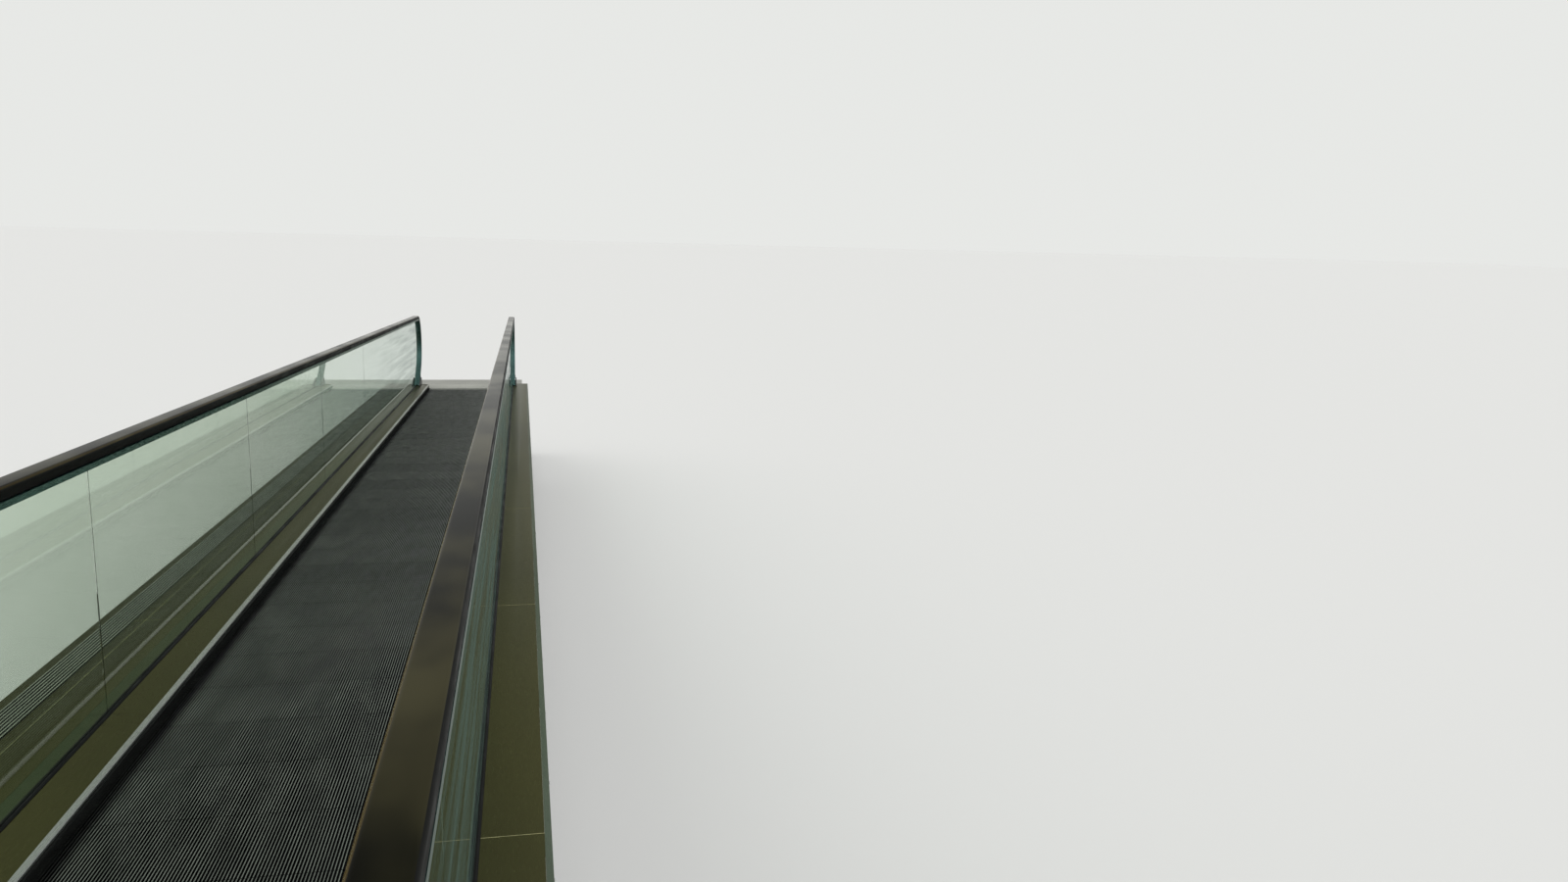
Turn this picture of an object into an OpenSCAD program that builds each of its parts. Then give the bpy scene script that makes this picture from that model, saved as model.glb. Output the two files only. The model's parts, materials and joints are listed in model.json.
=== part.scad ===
// Inclined moving walkway: a grooved pallet band between two glass balustrades,
// carried by a lattice truss that stands on trestles.
// X runs across the walkway, +Y is down the slope and Z is up. Millimetres.

/* [Ramp] */
// Horizontal run for each unit of fall
slope_run = 20; // [14:1:60]
// Whole glass bays between the end panels
bays = 6; // [2:2:6]
// Length of one glass bay along the slope
bay_len = 2400; // [1800:50:2600]
// Height of the truss above the floor at the lowest trestle
low_clearance = 200; // [170:5:400]

/* [Pallet band] */
// Width of a pallet
pallet_w = 1000; // [800:10:1100]
// Distance between cleats
cleat_pitch = 10; // [8:0.5:14]
// Width of one cleat
cleat_w = 4; // [3:0.5:5]
// Depth of the grooves between cleats
groove_depth = 10; // [8:0.5:12]
// Thickness of the plate under the grooves
tread_base = 4; // [3:0.5:8]
// Depth of a pallet's frame under its tread
pallet_frame = 50; // [40:1:56]
// Thickness of a pallet's ribs
pallet_rib = 8; // [5:0.5:14]
// Gap between neighbouring pallets
pallet_gap = 4; // [3:0.5:10]
// Length of a pallet
pallet_len = 400; // [380:5:405]
// Depth of the chain axis under the walking surface
axle_depth = 75; // [72:1:80]
// Radius of a chain roller
roller_r = 38; // [30:1:40]
// Width of a chain roller
roller_w = 26; // [20:1:28]
// Radius of a pallet axle
axle_r = 10; // [8:0.5:14]
// Thickness of the chain's side plate
chain_t = 8; // [5:0.5:10]
// Height of the chain's side plate
chain_h = 36; // [28:1:50]

/* [Balustrade] */
// Distance from a pallet's edge to the middle of the glass
glass_offset = 160; // [150:1:200]
// Thickness of the glass
glass_t = 12; // [8:0.5:14]
// Gap between neighbouring panels
glass_gap = 4; // [2:0.5:8]
// Height of the handrail above the walking surface
rail_h = 1027; // [950:5:1100]
// Width of the handrail
rail_w = 80; // [76:1:90]
// Depth of the handrail from its crown to its lips
rail_d = 40; // [36:1:44]
// Thickness of the handrail's rubber
rail_t = 11; // [9:0.5:12]
// Outer radius of the handrail round a newel
newel_r = 420; // [360:5:430]
// Angle at which the handrail comes down to its inlet
inlet_angle = 35; // [30:1:40]
// Outer radius of the bend where the handrail levels out under the deck
return_bend_r = 500; // [400:10:600]
// Depth of the handrail's return run under the walking surface
return_depth = 240; // [230:1:280]
// Width of the aluminium guide that grips the glass
guide_w = 28; // [24:1:32]
// How far the guide comes down over the glass
guide_d = 36; // [28:1:50]
// Height of the guide's flange, just under the handrail
guide_flange = 18; // [10:1:20]

/* [Decks] */
// Height of the deck's edge strip above the walking surface
strip_h = 42; // [36:1:60]
// Width of the aluminium edge strip
strip_w = 22; // [16:1:30]
// Rise of the inner deck from its strip to the glass
deck_rise = 16; // [10:1:40]
// Thickness of the deck sheets
sheet_t = 3; // [2:0.5:4]
// Running gap between pallet and skirt
skirt_gap = 4; // [3:0.5:6]
// How far the skirt reaches under the walking surface
skirt_drop = 45; // [35:1:50]
// How far the brush stands out from the skirt
brush_reach = 38; // [12:1:45]
// Width of the outer deck on the right
outer_deck_right = 178; // [150:5:260]
// Width of the outer deck on the left, with its trim
outer_deck_left = 252; // [200:2:300]
// Width of the light trim between the glass and that deck
glass_trim = 48; // [30:1:70]
// Width of the ribbed strip outside the left deck
ribbed_w = 112; // [100:2:180]
// Number of ribs on that strip
ribbed_count = 8; // [5:1:10]
// Width of the trim outside the left strip
trim_left = 39; // [30:1:60]
// Width of the trim outside the right deck
trim_right = 20; // [16:1:40]
// Height of the outer fascia
fascia_h = 158; // [120:2:200]

/* [Landings] */
// Distance from the last glass joint to the comb line
comb_past_joint = 700; // [650:10:800]
// Distance from the comb line to the centre of the newel
newel_past_comb = 200; // [180:5:260]
// Length of the comb's teeth
comb_len = 110; // [90:5:120]
// Width of one comb tooth
tooth_w = 3; // [2.5:0.1:3.2]
// Thickness of the landing plates
landing_t = 17; // [15:0.5:17]
// Height of the landing plates above the walking surface
landing_h = 6; // [5:0.5:8]
// Length of the comb carrier plate
carrier_len = 640; // [600:10:800]
// Length of the landing behind the comb carrier
landing_len = 750; // [600:10:1200]
// Number of cover plates on that landing
cover_plates = 2; // [1:1:4]

/* [Truss] */
// Side of the truss's chords
chord = 80; // [60:2:100]
// Side of the truss's posts
post = 60; // [40:2:76]
// Side of the truss's diagonals
diagonal = 50; // [40:2:60]
// Depth of the underside of the truss under the walking surface
truss_depth = 980; // [960:5:1100]
// Depth of the top of the truss under the walking surface
truss_top = 60; // [58:1:64]
// Thickness of the side brackets
bracket_t = 8; // [6:1:12]
// Thickness of the tracks
track_t = 8; // [6:0.5:10]

/* [Machinery] */
// Radius of the drive motor
motor_r = 105; // [80:1:120]
// Length of the drive motor
motor_len = 460; // [300:10:480]
// Distance from the main shaft to the gearbox's shaft
gear_distance = 640; // [600:5:660]
// Pitch radius of the drive chain's wheel on the main shaft
wheel_r = 180; // [140:2:190]
// Pitch radius of the drive chain's wheel on the gearbox
pinion_r = 64; // [50:1:80]
// Pairs of rollers that drive a handrail
drive_pairs = 5; // [3:1:6]
// Number of disc springs on a tension rod
spring_discs = 12; // [8:1:16]

/* [Trestles] */
// Distance from the end of the truss to the outermost trestles
trestle_inset = 500; // [400:10:700]
// Side of the trestle's legs
leg = 120; // [80:5:140]
// Side of the sole plates
sole = 240; // [240:5:320]
// Thickness of the sole plates
sole_t = 20; // [15:1:30]
// Radius of the anchor holes
anchor_r = 11; // [8:0.5:14]
// Distance between the anchor holes
anchor_pitch = 190; // [180:5:200]

/* [Hidden] */
$fn = 48;

seat = 0.3;
lap = 1;
hair = 0.1;
links_per_pallet = 3;
sprocket_teeth = 4 * links_per_pallet;
chain_pitch = pallet_len / links_per_pallet;
slope = atan(1 / slope_run);
lean = tan(slope);

// Stations along the slope, measured from the middle of the walkway
glass_end = bays * bay_len / 2;
comb_s = glass_end + comb_past_joint;
comb_root = comb_s + comb_len;
newel_s = comb_s + newel_past_comb;

// Where the handrail leaves its newel and crosses the deck
deck_h = strip_h + deck_rise;
newel_h = rail_h - newel_r;
exit_angle = 90 - inlet_angle;
exit_s = newel_s + newel_r * cos(exit_angle);
exit_h = newel_h - newel_r * sin(exit_angle);
inlet_s = exit_s - (exit_h - deck_h) / tan(inlet_angle);

// The decks end past that crossing, and the comb carrier begins there
shroud_front = 112;
deck_end = max(inlet_s + shroud_front, comb_root + 60);
carrier_s = deck_end + 10;
carrier_end = comb_root + carrier_len;
truss_end = carrier_end + landing_len;
bracket_step = bay_len / 2;
last_bracket = deck_end - 40;
bracket_stations = concat(
    [for (i = [-bays:bays]) i * bracket_step], [-last_bracket, last_bracket]);

// Places across the walkway, for the right side
skirt_x = pallet_w / 2 + skirt_gap;
strip_x = skirt_x - 1;
strip_out = strip_x + strip_w;
deck_x = strip_out + seat;
glass_x = pallet_w / 2 + glass_offset;
gasket_t = 6;
clamp_wall = 6;
clamp_w = glass_t + 2 * gasket_t + 2 * clamp_wall;
clamp_in = glass_x - clamp_w / 2;
clamp_out = glass_x + clamp_w / 2;
chord_in = glass_x + rail_w / 2 + 15;
chord_out = chord_in + chord;
chord_mid = (chord_in + chord_out) / 2;
post_in = chord_mid - post / 2;
outer_x = clamp_out + seat;
right_x = outer_x + outer_deck_right + seat + trim_right;
ribbed_x = outer_x + outer_deck_left + seat;
left_x = ribbed_x + ribbed_w + seat + trim_left;

// Heights above the walking surface
skirt_top = strip_h - 11;
strip_ledge = skirt_top + seat + 3.4;
deck_low = strip_ledge + seat;
clamp_bottom = -truss_top - 10;
glass_bottom = clamp_bottom + 20 + seat;
path_h = rail_h - rail_d;
glass_top = path_h - 10;
tread_t = groove_depth + tread_base;
track_h = -axle_depth - roller_r - seat;
track_low = track_h - track_t;

// The chain's loop: two sprockets, and straight runs of whole links.
// A run holds whole pallets, so its links are a multiple of the links of a pallet.
link_angle = 360 / sprocket_teeth;
sprocket_r = chain_pitch / (2 * sin(link_angle / 2));
turn_links = sprocket_teeth / 2;
longest_run = 2 * (newel_s + 120);
run_links = links_per_pallet * floor(longest_run / pallet_len);
sprocket_s = run_links * chain_pitch / 2;
sprocket_h = -axle_depth - sprocket_r;
return_h = sprocket_h - sprocket_r;
loop_links = 2 * (run_links + turn_links);
pallets = loop_links / links_per_pallet;
return_track_h = return_h - roller_r - seat;
sprocket_tip = sprocket_r + 14;
tooth_reach = sqrt(pow(sprocket_tip, 2) - pow(track_low - sprocket_h, 2));
track_end = sprocket_s - tooth_reach - 10;
roller_x = pallet_w / 2 + 12;
chain_x = roller_x + roller_w + seat;
shaft_r = 45;
bearing = 150;
bearing_in = chord_in - 130;
wheel_x = bearing_in - 30;
wheel_t = 16;
wheel_play = 0.8;
gear_h = -560;

// Motor, gearbox and the beams under them
gear_s = sprocket_s + gear_distance;
gearbox_out = wheel_x - 55;
gearbox_in = gearbox_out - 210;
gearbox_wide = 150;
gearbox_tall = 130;
wheel_teeth = 32;
pinion_teeth = 11;
chain_half = 10;
beam_foot = -truss_depth + chord + seat;
beam_low = beam_foot + 24;
beam_top = beam_low + 60;
bed_t = 20;
bed_top = beam_top - 1 + bed_t;
bed_front = 200;
bed_back = 260;
beam_inset = 60;
slide_len = 500;

// Where the handrail levels out under the decks
bend_run = return_bend_r * tan(inlet_angle / 2);
level_s = exit_s - (exit_h + return_depth) / tan(inlet_angle);
bend_s = level_s - bend_run;
bend_h = return_bend_r - return_depth;
incline_len = (exit_h + return_depth) / sin(inlet_angle) - bend_run;
guide_len = (exit_h + (rail_d + guide_d) * cos(inlet_angle) - deck_h - 10) / sin(inlet_angle);
clamp_end = inlet_s - (deck_h - clamp_bottom + 60) / tan(inlet_angle);

// Where the whole walkway stands, so that the origin is under its middle
high_y = truss_end * cos(slope) + truss_depth * sin(slope);
low_y = truss_end * cos(slope) + landing_h * sin(slope);
ramp_x = (max(left_x, chord_mid + sole / 2) - max(right_x, chord_mid + sole / 2)) / 2;
ramp_y = (high_y - low_y) / 2;
trestle_end = truss_end - trestle_inset;
ramp_z = low_clearance + trestle_end * sin(slope) + truss_depth * cos(slope);
trestle_stations = [for (i = [-2:2]) i * trestle_end / 2];

// Places children, drawn with the walking surface at z = 0, on the slope
module ramp() {
    translate([ramp_x, ramp_y, ramp_z])
        rotate([-slope, 0, 0])
            children();
}

// Extrudes an outline of [across, height] points from s0 to s1
module along(s0, s1) {
    translate([0, s1, 0])
        rotate([90, 0, 0])
            linear_extrude(s1 - s0)
                children();
}

// Extrudes an outline of [station, height] points from x0 to x1
module across(x0, x1) {
    translate([x0, 0, 0])
        rotate([90, 0, 90])
            linear_extrude(x1 - x0)
                children();
}

// The left side is the right side's mirror image
module left() {
    mirror([1, 0, 0])
        children();
}

module both_sides() {
    children();
    left()
        children();
}

module both_ends() {
    children();
    mirror([0, 1, 0])
        children();
}

module block(x0, x1, s0, s1, h0, h1) {
    translate([x0, s0, h0])
        cube([x1 - x0, s1 - s0, h1 - h0]);
}

function arc(c, r, from, to, steps) =
    [for (i = [0:steps]) let (a = from + (to - from) * i / steps)
        [c[0] + r * cos(a), c[1] + r * sin(a)]];

// Truss

module diagonal_bar(s0, s1) {
    half = diagonal * sqrt(pow(s1 - s0, 2) + pow(truss_depth, 2)) / truss_depth / 2;
    low = -truss_depth + chord / 2;
    high = -truss_top - chord / 2;
    polygon([[s0 - half, low], [s0 + half, low], [s1 + half, high], [s1 - half, high]]);
}

module truss_side() {
    low = -truss_depth + chord / 2;
    high = -truss_top - chord / 2;
    for (top = [-truss_top, -truss_depth + chord])
        block(chord_in, chord_out, -truss_end, truss_end, top - chord, top);
    for (i = [-bays:bays])
        block(chord_mid - post / 2, chord_mid + post / 2,
            i * bracket_step - post / 2, i * bracket_step + post / 2, low, high);
    both_ends() {
        block(chord_mid - post / 2, chord_mid + post / 2, truss_end - post, truss_end,
            low, high);
        block(chord_in, chord_mid + post / 2, sprocket_s - chord, sprocket_s + chord,
            low, high);
    }
    across(chord_mid - diagonal / 2, chord_mid + diagonal / 2)
        for (i = [-bays:2:bays - 2]) {
            diagonal_bar(i * bracket_step, (i + 1) * bracket_step);
            diagonal_bar((i + 2) * bracket_step, (i + 1) * bracket_step);
        }
}

module truss_left() {
    color("slategray")
        ramp()
            left()
                truss_side();
}

module truss_right() {
    color("slategray")
        ramp()
            truss_side();
}

module cross_members() {
    low = -truss_depth + 10;
    color("slategray")
        ramp() {
            for (i = [-bays:bays])
                translate([0, i * bracket_step, 0]) {
                    block(-chord_in, chord_in, -post / 2, post / 2, low, low + post);
                    block(-post_in, post_in, -post / 2, post / 2,
                        sprocket_h - post / 2, sprocket_h + post / 2);
                }
            both_ends()
                block(-chord_in, chord_in, truss_end - post, truss_end, low, low + post);
        }
}

module drip_tray() {
    floor_h = -truss_depth + 10 + post + seat;
    rim = chord_in - 5;
    color("darkgray")
        ramp()
            along(-truss_end + post + 5, truss_end - post - 5)
                difference() {
                    translate([-rim, floor_h])
                        square([2 * rim, 30]);
                    translate([-rim + sheet_t, floor_h + sheet_t])
                        square([2 * (rim - sheet_t), 30]);
                }
}

// Brackets and tracks

bracket_front = skirt_x + sheet_t + seat;
bracket_throat = bracket_front + 78;
bracket_low = track_low - seat - 30;

// Plate that holds the skirt, the clamp and the deck on the truss
module skirt_bracket() {
    polygon([[bracket_front, 18], [bracket_front, -30], [bracket_throat, -30],
        [bracket_throat, bracket_low], [chord_in, bracket_low], [chord_in, clamp_bottom],
        [clamp_in - seat, clamp_bottom], [clamp_in - seat, 18]]);
}

module track_bracket() {
    translate([roller_x, bracket_low])
        square([chord_in - roller_x, track_low - seat - bracket_low]);
}

module return_bracket() {
    track_seat = return_track_h - track_t - seat;
    polygon([[roller_x, track_seat], [post_in, track_seat],
        [post_in, track_seat - 60], [roller_x, track_seat - 20]]);
}

module side_brackets() {
    for (s = bracket_stations)
        along(s - bracket_t / 2, s + bracket_t / 2) {
            skirt_bracket();
            if (abs(s) < track_end)
                track_bracket();
        }
    for (i = [-bays:bays])
        along(i * bracket_step - bracket_t / 2, i * bracket_step + bracket_t / 2)
            return_bracket();
}

module side_brackets_left() {
    color("gray")
        ramp()
            left()
                side_brackets();
}

module side_brackets_right() {
    color("gray")
        ramp()
            side_brackets();
}

module track(top, end) {
    width = roller_w + 10;
    both_sides()
        block(roller_x, roller_x + width, -end, end, top - track_t, top);
}

module upper_tracks() {
    color("silver")
        ramp()
            track(track_h, track_end);
}

module return_tracks() {
    color("silver")
        ramp()
            track(return_track_h, sprocket_s);
}

// Pallet band

// Station, height and turn of the chain's loop after so many links
function loop_at(u) =
    let (a = run_links, b = a + turn_links, c = b + run_links)
    u <= a ? [-sprocket_s + u * chain_pitch, -axle_depth, 0] :
    u <= b ? [sprocket_s + sprocket_r * sin((u - a) * link_angle),
        sprocket_h + sprocket_r * cos((u - a) * link_angle), -(u - a) * link_angle] :
    u <= c ? [sprocket_s - (u - b) * chain_pitch, return_h, 180] :
    [-sprocket_s - sprocket_r * sin((u - c) * link_angle),
        sprocket_h - sprocket_r * cos((u - c) * link_angle), 180 - (u - c) * link_angle];

// Outline of the grooved tread, with its cleats up to zero
function cleats_outline() =
    let (
        count = floor((pallet_w - cleat_w) / cleat_pitch) + 1,
        first = -((count - 1) * cleat_pitch + cleat_w) / 2
    )
    concat(
        [[-first, -tread_t], [first, -tread_t]],
        [for (i = [0:count - 1]) let (x = first + i * cleat_pitch)
            each concat(
                i > 0 ? [[x, -groove_depth]] : [],
                [[x, 0], [x + cleat_w, 0]],
                i < count - 1 ? [[x + cleat_w, -groove_depth]] : [])]);

module cleated_tread() {
    reach = comb_root - 10;
    color("dimgray")
        ramp() {
            along(-reach, reach)
                polygon(cleats_outline());
            along(-sprocket_s, sprocket_s)
                translate([0, return_h - axle_depth])
                    mirror([0, 1])
                        polygon(cleats_outline());
        }
}

// One pallet's frame, drawn with its axle on the origin
module pallet() {
    half = (pallet_len - pallet_gap) / 2;
    top = axle_depth - tread_t - seat;
    low = top - pallet_frame;
    cell = (pallet_w - 3 * pallet_rib) / 2;
    difference() {
        block(-pallet_w / 2, pallet_w / 2, -half, half, low, top);
        for (x = [-pallet_w / 2 + pallet_rib, pallet_rib / 2])
            block(x, x + cell, -half + pallet_rib, half - pallet_rib, low - 1,
                top - pallet_rib);
    }
    translate([-chain_x + seat, 0, 0])
        rotate([0, 90, 0])
            cylinder(r = axle_r, h = 2 * (chain_x - seat));
    both_sides() {
        block(pallet_w / 2 - 10, pallet_w / 2 + 10, -20, 20, -20, top - 10);
        translate([roller_x, 0, 0])
            rotate([0, 90, 0])
                cylinder(r = roller_r, h = roller_w);
    }
}

module pallet_band() {
    color("dimgray")
        ramp()
            for (i = [0:pallets - 1]) {
                place = loop_at(i * links_per_pallet);
                translate([0, place[0], place[1]])
                    rotate([place[2], 0, 0])
                        pallet();
            }
}

module pallet_chains() {
    outer = sprocket_r + chain_h / 2;
    inner = sprocket_r - chain_h / 2;
    color("dimgray")
        ramp()
            both_sides()
                across(chain_x, chain_x + chain_t)
                    translate([0, sprocket_h]) {
                        for (side = [-1, 1])
                            translate([0, side * sprocket_r])
                                square([2 * (sprocket_s + lap), chain_h], center = true);
                        for (side = [-1, 1])
                            translate([side * sprocket_s, 0])
                                intersection() {
                                    difference() {
                                        circle(r = outer);
                                        circle(r = inner);
                                    }
                                    translate([side * outer, 0])
                                        square(2 * outer, center = true);
                                }
                    }
}

module sprocket() {
    holes = 6;
    hole_ring = sprocket_r * 0.55;
    hole_r = sprocket_r * 0.16;
    difference() {
        circle(r = sprocket_tip);
        for (i = [0:sprocket_teeth - 1])
            rotate(i * link_angle)
                translate([0, sprocket_r])
                    circle(r = roller_r + 1);
        for (i = [0:holes - 1])
            rotate(i * 360 / holes)
                translate([hole_ring, 0])
                    circle(r = hole_r);
    }
}

// Pitch line of the drive chain's outline, or one larger or smaller by a step
function chain_outline(step) =
    let (
        rise = gear_h - sprocket_h, run = gear_distance,
        span = sqrt(run * run + rise * rise), turn = atan2(rise, run),
        touch = acos((wheel_r - pinion_r) / span)
    )
    concat(
        arc([0, 0], wheel_r + step, turn + touch, turn + 360 - touch, 24),
        arc([run, rise], pinion_r + step, turn - touch, turn + touch, 12));

module chain_wheel(pitch_r, teeth) {
    tooth = 12;
    difference() {
        circle(r = pitch_r - 4);
        for (i = [0:teeth - 1])
            rotate((i + 0.5) * 360 / teeth)
                translate([pitch_r, 0])
                    circle(r = tooth);
    }
}

// A shaft with a sprocket, a hub and a bearing block at each end
module sprocket_pair() {
    disc_in = roller_x + 4;
    disc_out = roller_x + roller_w - 4;
    hub_r = 62;
    hub_len = 40;
    both_sides() {
        across(disc_in, disc_out)
            sprocket();
        across(disc_in - hub_len, disc_out + 4)
            circle(r = hub_r);
        block(bearing_in, chord_in - seat, -bearing / 2, bearing / 2, -bearing / 2, bearing / 2);
    }
    across(-bearing_in - 1, bearing_in + 1)
        circle(r = shaft_r);
}

module drive_sprockets() {
    color("silver")
        ramp()
            translate([0, -sprocket_s, sprocket_h]) {
                sprocket_pair();
                across(wheel_x, wheel_x + wheel_t)
                    chain_wheel(wheel_r - wheel_play, wheel_teeth);
            }
}

module tension_sprockets() {
    color("silver")
        ramp()
            translate([0, sprocket_s, sprocket_h])
                sprocket_pair();
}

// Skirts and decks

module skirts() {
    color("#26282b")
        ramp()
            both_sides()
                block(skirt_x, skirt_x + sheet_t, -deck_end, deck_end, -skirt_drop, skirt_top);
}

module skirt_brushes() {
    tip = skirt_x - brush_reach;
    color("#17181a")
        ramp()
            both_sides()
                along(-comb_s, comb_s)
                    polygon([[skirt_x - seat, 28], [skirt_x - seat, 12], [skirt_x - 6, 12],
                        [tip, 9], [tip, 13], [skirt_x - 6, 20]]);
}

module edge_strips() {
    low = skirt_top + seat;
    color("silver")
        ramp()
            both_sides()
                along(-deck_end, deck_end)
                    polygon([[strip_x, low], [strip_out + 14, low],
                        [strip_out + 14, strip_ledge], [strip_out, strip_ledge],
                        [strip_out, strip_h], [strip_x + 3, strip_h],
                        [strip_x, strip_h - 3]]);
}

// Stations of the joints between deck sheets
deck_joints = concat([-deck_end], [for (i = [-bays / 2:bays / 2]) i * bay_len], [deck_end]);

// One sheet for each bay, with a slot at each end for the handrail
module deck_sheets() {
    slot_x = rail_w / 2 + 8;
    difference() {
        for (i = [0:len(deck_joints) - 2])
            along(deck_joints[i] + 1, deck_joints[i + 1] - 1)
                children();
        both_ends()
            block(glass_x - slot_x, glass_x + slot_x, clamp_end + 110, deck_end + 1,
                0, deck_h + 1);
    }
}

module inner_deck() {
    deck_sheets()
        polygon([[deck_x, deck_low], [clamp_in - seat, deck_h - sheet_t],
            [clamp_in - seat, deck_h], [deck_x, deck_low + sheet_t]]);
}

module inner_deck_left() {
    color("#6f6a52")
        ramp()
            left()
                inner_deck();
}

module inner_deck_right() {
    color("#6f6a52")
        ramp()
            inner_deck();
}

module outer_deck(from, width) {
    deck_sheets()
        translate([from, deck_h - sheet_t])
            square([width, sheet_t]);
}

module outer_deck_left() {
    color("#6f6a52")
        ramp()
            left()
                outer_deck(outer_x + glass_trim + 1, outer_deck_left - glass_trim - 1);
}

module outer_deck_right() {
    color("#6f6a52")
        ramp()
            outer_deck(outer_x, outer_deck_right);
}

// Light trim between the left glass and its outer deck
module glass_trim_left() {
    color("silver")
        ramp()
            left()
                outer_deck(outer_x, glass_trim);
}

module ribbed_strip() {
    pitch = ribbed_w / ribbed_count;
    low = deck_h - sheet_t;
    color("silver")
        ramp()
            left()
                along(-deck_end, deck_end) {
                    translate([ribbed_x, low])
                        square([ribbed_w, sheet_t]);
                    for (i = [0:ribbed_count - 1])
                        translate([ribbed_x + (i + 0.25) * pitch, low])
                            square([pitch / 2, sheet_t + 4]);
                }
}

module fascia(edge, trim) {
    along(-deck_end, deck_end)
        polygon([[edge - trim, deck_h], [edge - trim, deck_h - sheet_t],
            [edge - sheet_t, deck_h - sheet_t], [edge - sheet_t, deck_h - fascia_h],
            [edge, deck_h - fascia_h], [edge, deck_h]]);
}

// Brackets on the top chord that carry an outer deck
module outriggers(edge) {
    tip = edge - sheet_t - seat;
    top = deck_h - sheet_t - seat;
    low = -truss_top - chord + 10;
    for (s = bracket_stations)
        along(s - bracket_t / 2, s + bracket_t / 2)
            polygon([[chord_in + 2, -truss_top], [chord_in + 2, top], [tip, top],
                [tip, top - 40], [chord_out + 4, low], [chord_out, low],
                [chord_out, -truss_top]]);
}

module fascia_left() {
    color("#6f6a52")
        ramp()
            left() {
                fascia(left_x, trim_left);
                outriggers(left_x);
            }
}

module fascia_right() {
    color("#6f6a52")
        ramp() {
            fascia(right_x, trim_right);
            outriggers(right_x);
        }
}

// Plate that closes the decks over the landing
module end_cap(edge) {
    along(deck_end + seat, deck_end + 9)
        polygon([[skirt_x, landing_h + seat], [chord_out + 4, landing_h + seat],
            [chord_out + 4, deck_h - fascia_h], [edge, deck_h - fascia_h],
            [edge, deck_h], [clamp_in, deck_h], [skirt_x, strip_h]]);
}

module deck_end_caps() {
    color("#6f6a52")
        ramp()
            both_ends() {
                end_cap(right_x);
                left()
                    end_cap(left_x);
            }
}

// Glass

module glass_clamp() {
    slot = glass_t / 2 + gasket_t;
    ledge_run = 10;
    fall = (deck_h - sheet_t - deck_low) / (clamp_in - seat - deck_x);
    ledge_in = deck_h - sheet_t - fall * ledge_run - seat;
    ledge_out = deck_h - sheet_t - seat;
    along(-clamp_end, clamp_end)
        polygon([[clamp_in, clamp_bottom], [clamp_out, clamp_bottom],
            [clamp_out, ledge_out - 6], [clamp_out + ledge_run, ledge_out - 6],
            [clamp_out + ledge_run, ledge_out], [glass_x + slot, ledge_out],
            [glass_x + slot, clamp_bottom + 20], [glass_x - slot, clamp_bottom + 20],
            [glass_x - slot, ledge_in], [clamp_in - ledge_run, ledge_in],
            [clamp_in - ledge_run, ledge_in - 6], [clamp_in, ledge_in - 6]]);
}

module glass_clamp_left() {
    color("silver")
        ramp()
            left()
                glass_clamp();
}

module glass_clamp_right() {
    color("silver")
        ramp()
            glass_clamp();
}

// Rubber between clamp and glass, with a lip that covers the clamp's wall
module gasket(side) {
    foot = clamp_bottom + 20;
    lip = deck_h - sheet_t;
    face = side * glass_t / 2;
    back = face + side * gasket_t;
    edge = side * clamp_w / 2;
    translate([glass_x, 0])
        polygon([[face, foot], [back, foot], [back, lip], [edge, lip], [edge, deck_h + 2],
            [back, deck_h + 5], [face, deck_h + 5]]);
}

module glass_gaskets() {
    color("#17181a")
        ramp()
            both_sides()
                along(-clamp_end, clamp_end) {
                    gasket(-1);
                    gasket(1);
                }
}

// One bay of glass, with plumb ends
module bay_panel(i) {
    s0 = (i - bays / 2) * bay_len + glass_gap / 2;
    s1 = s0 + bay_len - glass_gap;
    polygon([[s0 - glass_bottom * lean, glass_bottom], [s1 - glass_bottom * lean, glass_bottom],
        [s1 - glass_top * lean, glass_top], [s0 - glass_top * lean, glass_top]]);
}

// The last panel, rounded to the newel; end is 1 down the slope and -1 up it
module newel_panel(end) {
    edge_r = newel_r - rail_d - 10;
    s0 = glass_end + glass_gap / 2;
    tilt = end * lean;
    foot_s = newel_s + edge_r * cos(exit_angle)
        - (newel_h - edge_r * sin(exit_angle) - glass_bottom) / tan(inlet_angle);
    polygon(concat(
        [[s0 - glass_top * tilt, glass_top], [s0 - glass_bottom * tilt, glass_bottom],
            [foot_s, glass_bottom]],
        arc([newel_s, newel_h], edge_r, -exit_angle, 90, 24)));
}

module glass_sheets() {
    across(glass_x - glass_t / 2, glass_x + glass_t / 2) {
        for (i = [0:bays - 1])
            bay_panel(i);
        newel_panel(1);
        mirror([1, 0])
            newel_panel(-1);
    }
}

module glass_left() {
    color("#7fa894", 0.35)
        ramp()
            left()
                glass_sheets();
}

module glass_right() {
    color("#7fa894", 0.35)
        ramp()
            glass_sheets();
}

// Handrail and guide: outlines of [out from the loop, across] points

// Each can be drawn slimmer by a hair, for the bends, so that they end inside the straight runs

function guide_outline(slim) =
    let (
        foot = -guide_d + slim, neck = guide_w / 2 - slim, ledge = 8 + slim,
        head = rail_w / 2 - rail_t - 3 - slim, crown = rail_d - rail_t - seat - slim,
        wing = rail_w / 2 - slim, high = -4 - slim, low = -4 - guide_flange + slim,
        slot = glass_t / 2 + seat + slim, roof = -10 + seat + slim
    )
    [[foot, -neck], [low, -neck], [low, -wing], [high, -wing], [high, -neck],
        [ledge, -neck], [ledge, -head], [crown, -head], [crown, head],
        [ledge, head], [ledge, neck], [high, neck], [high, wing], [low, wing], [low, neck],
        [foot, neck], [foot, slot], [roof, slot], [roof, -slot], [foot, -slot]];

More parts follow.
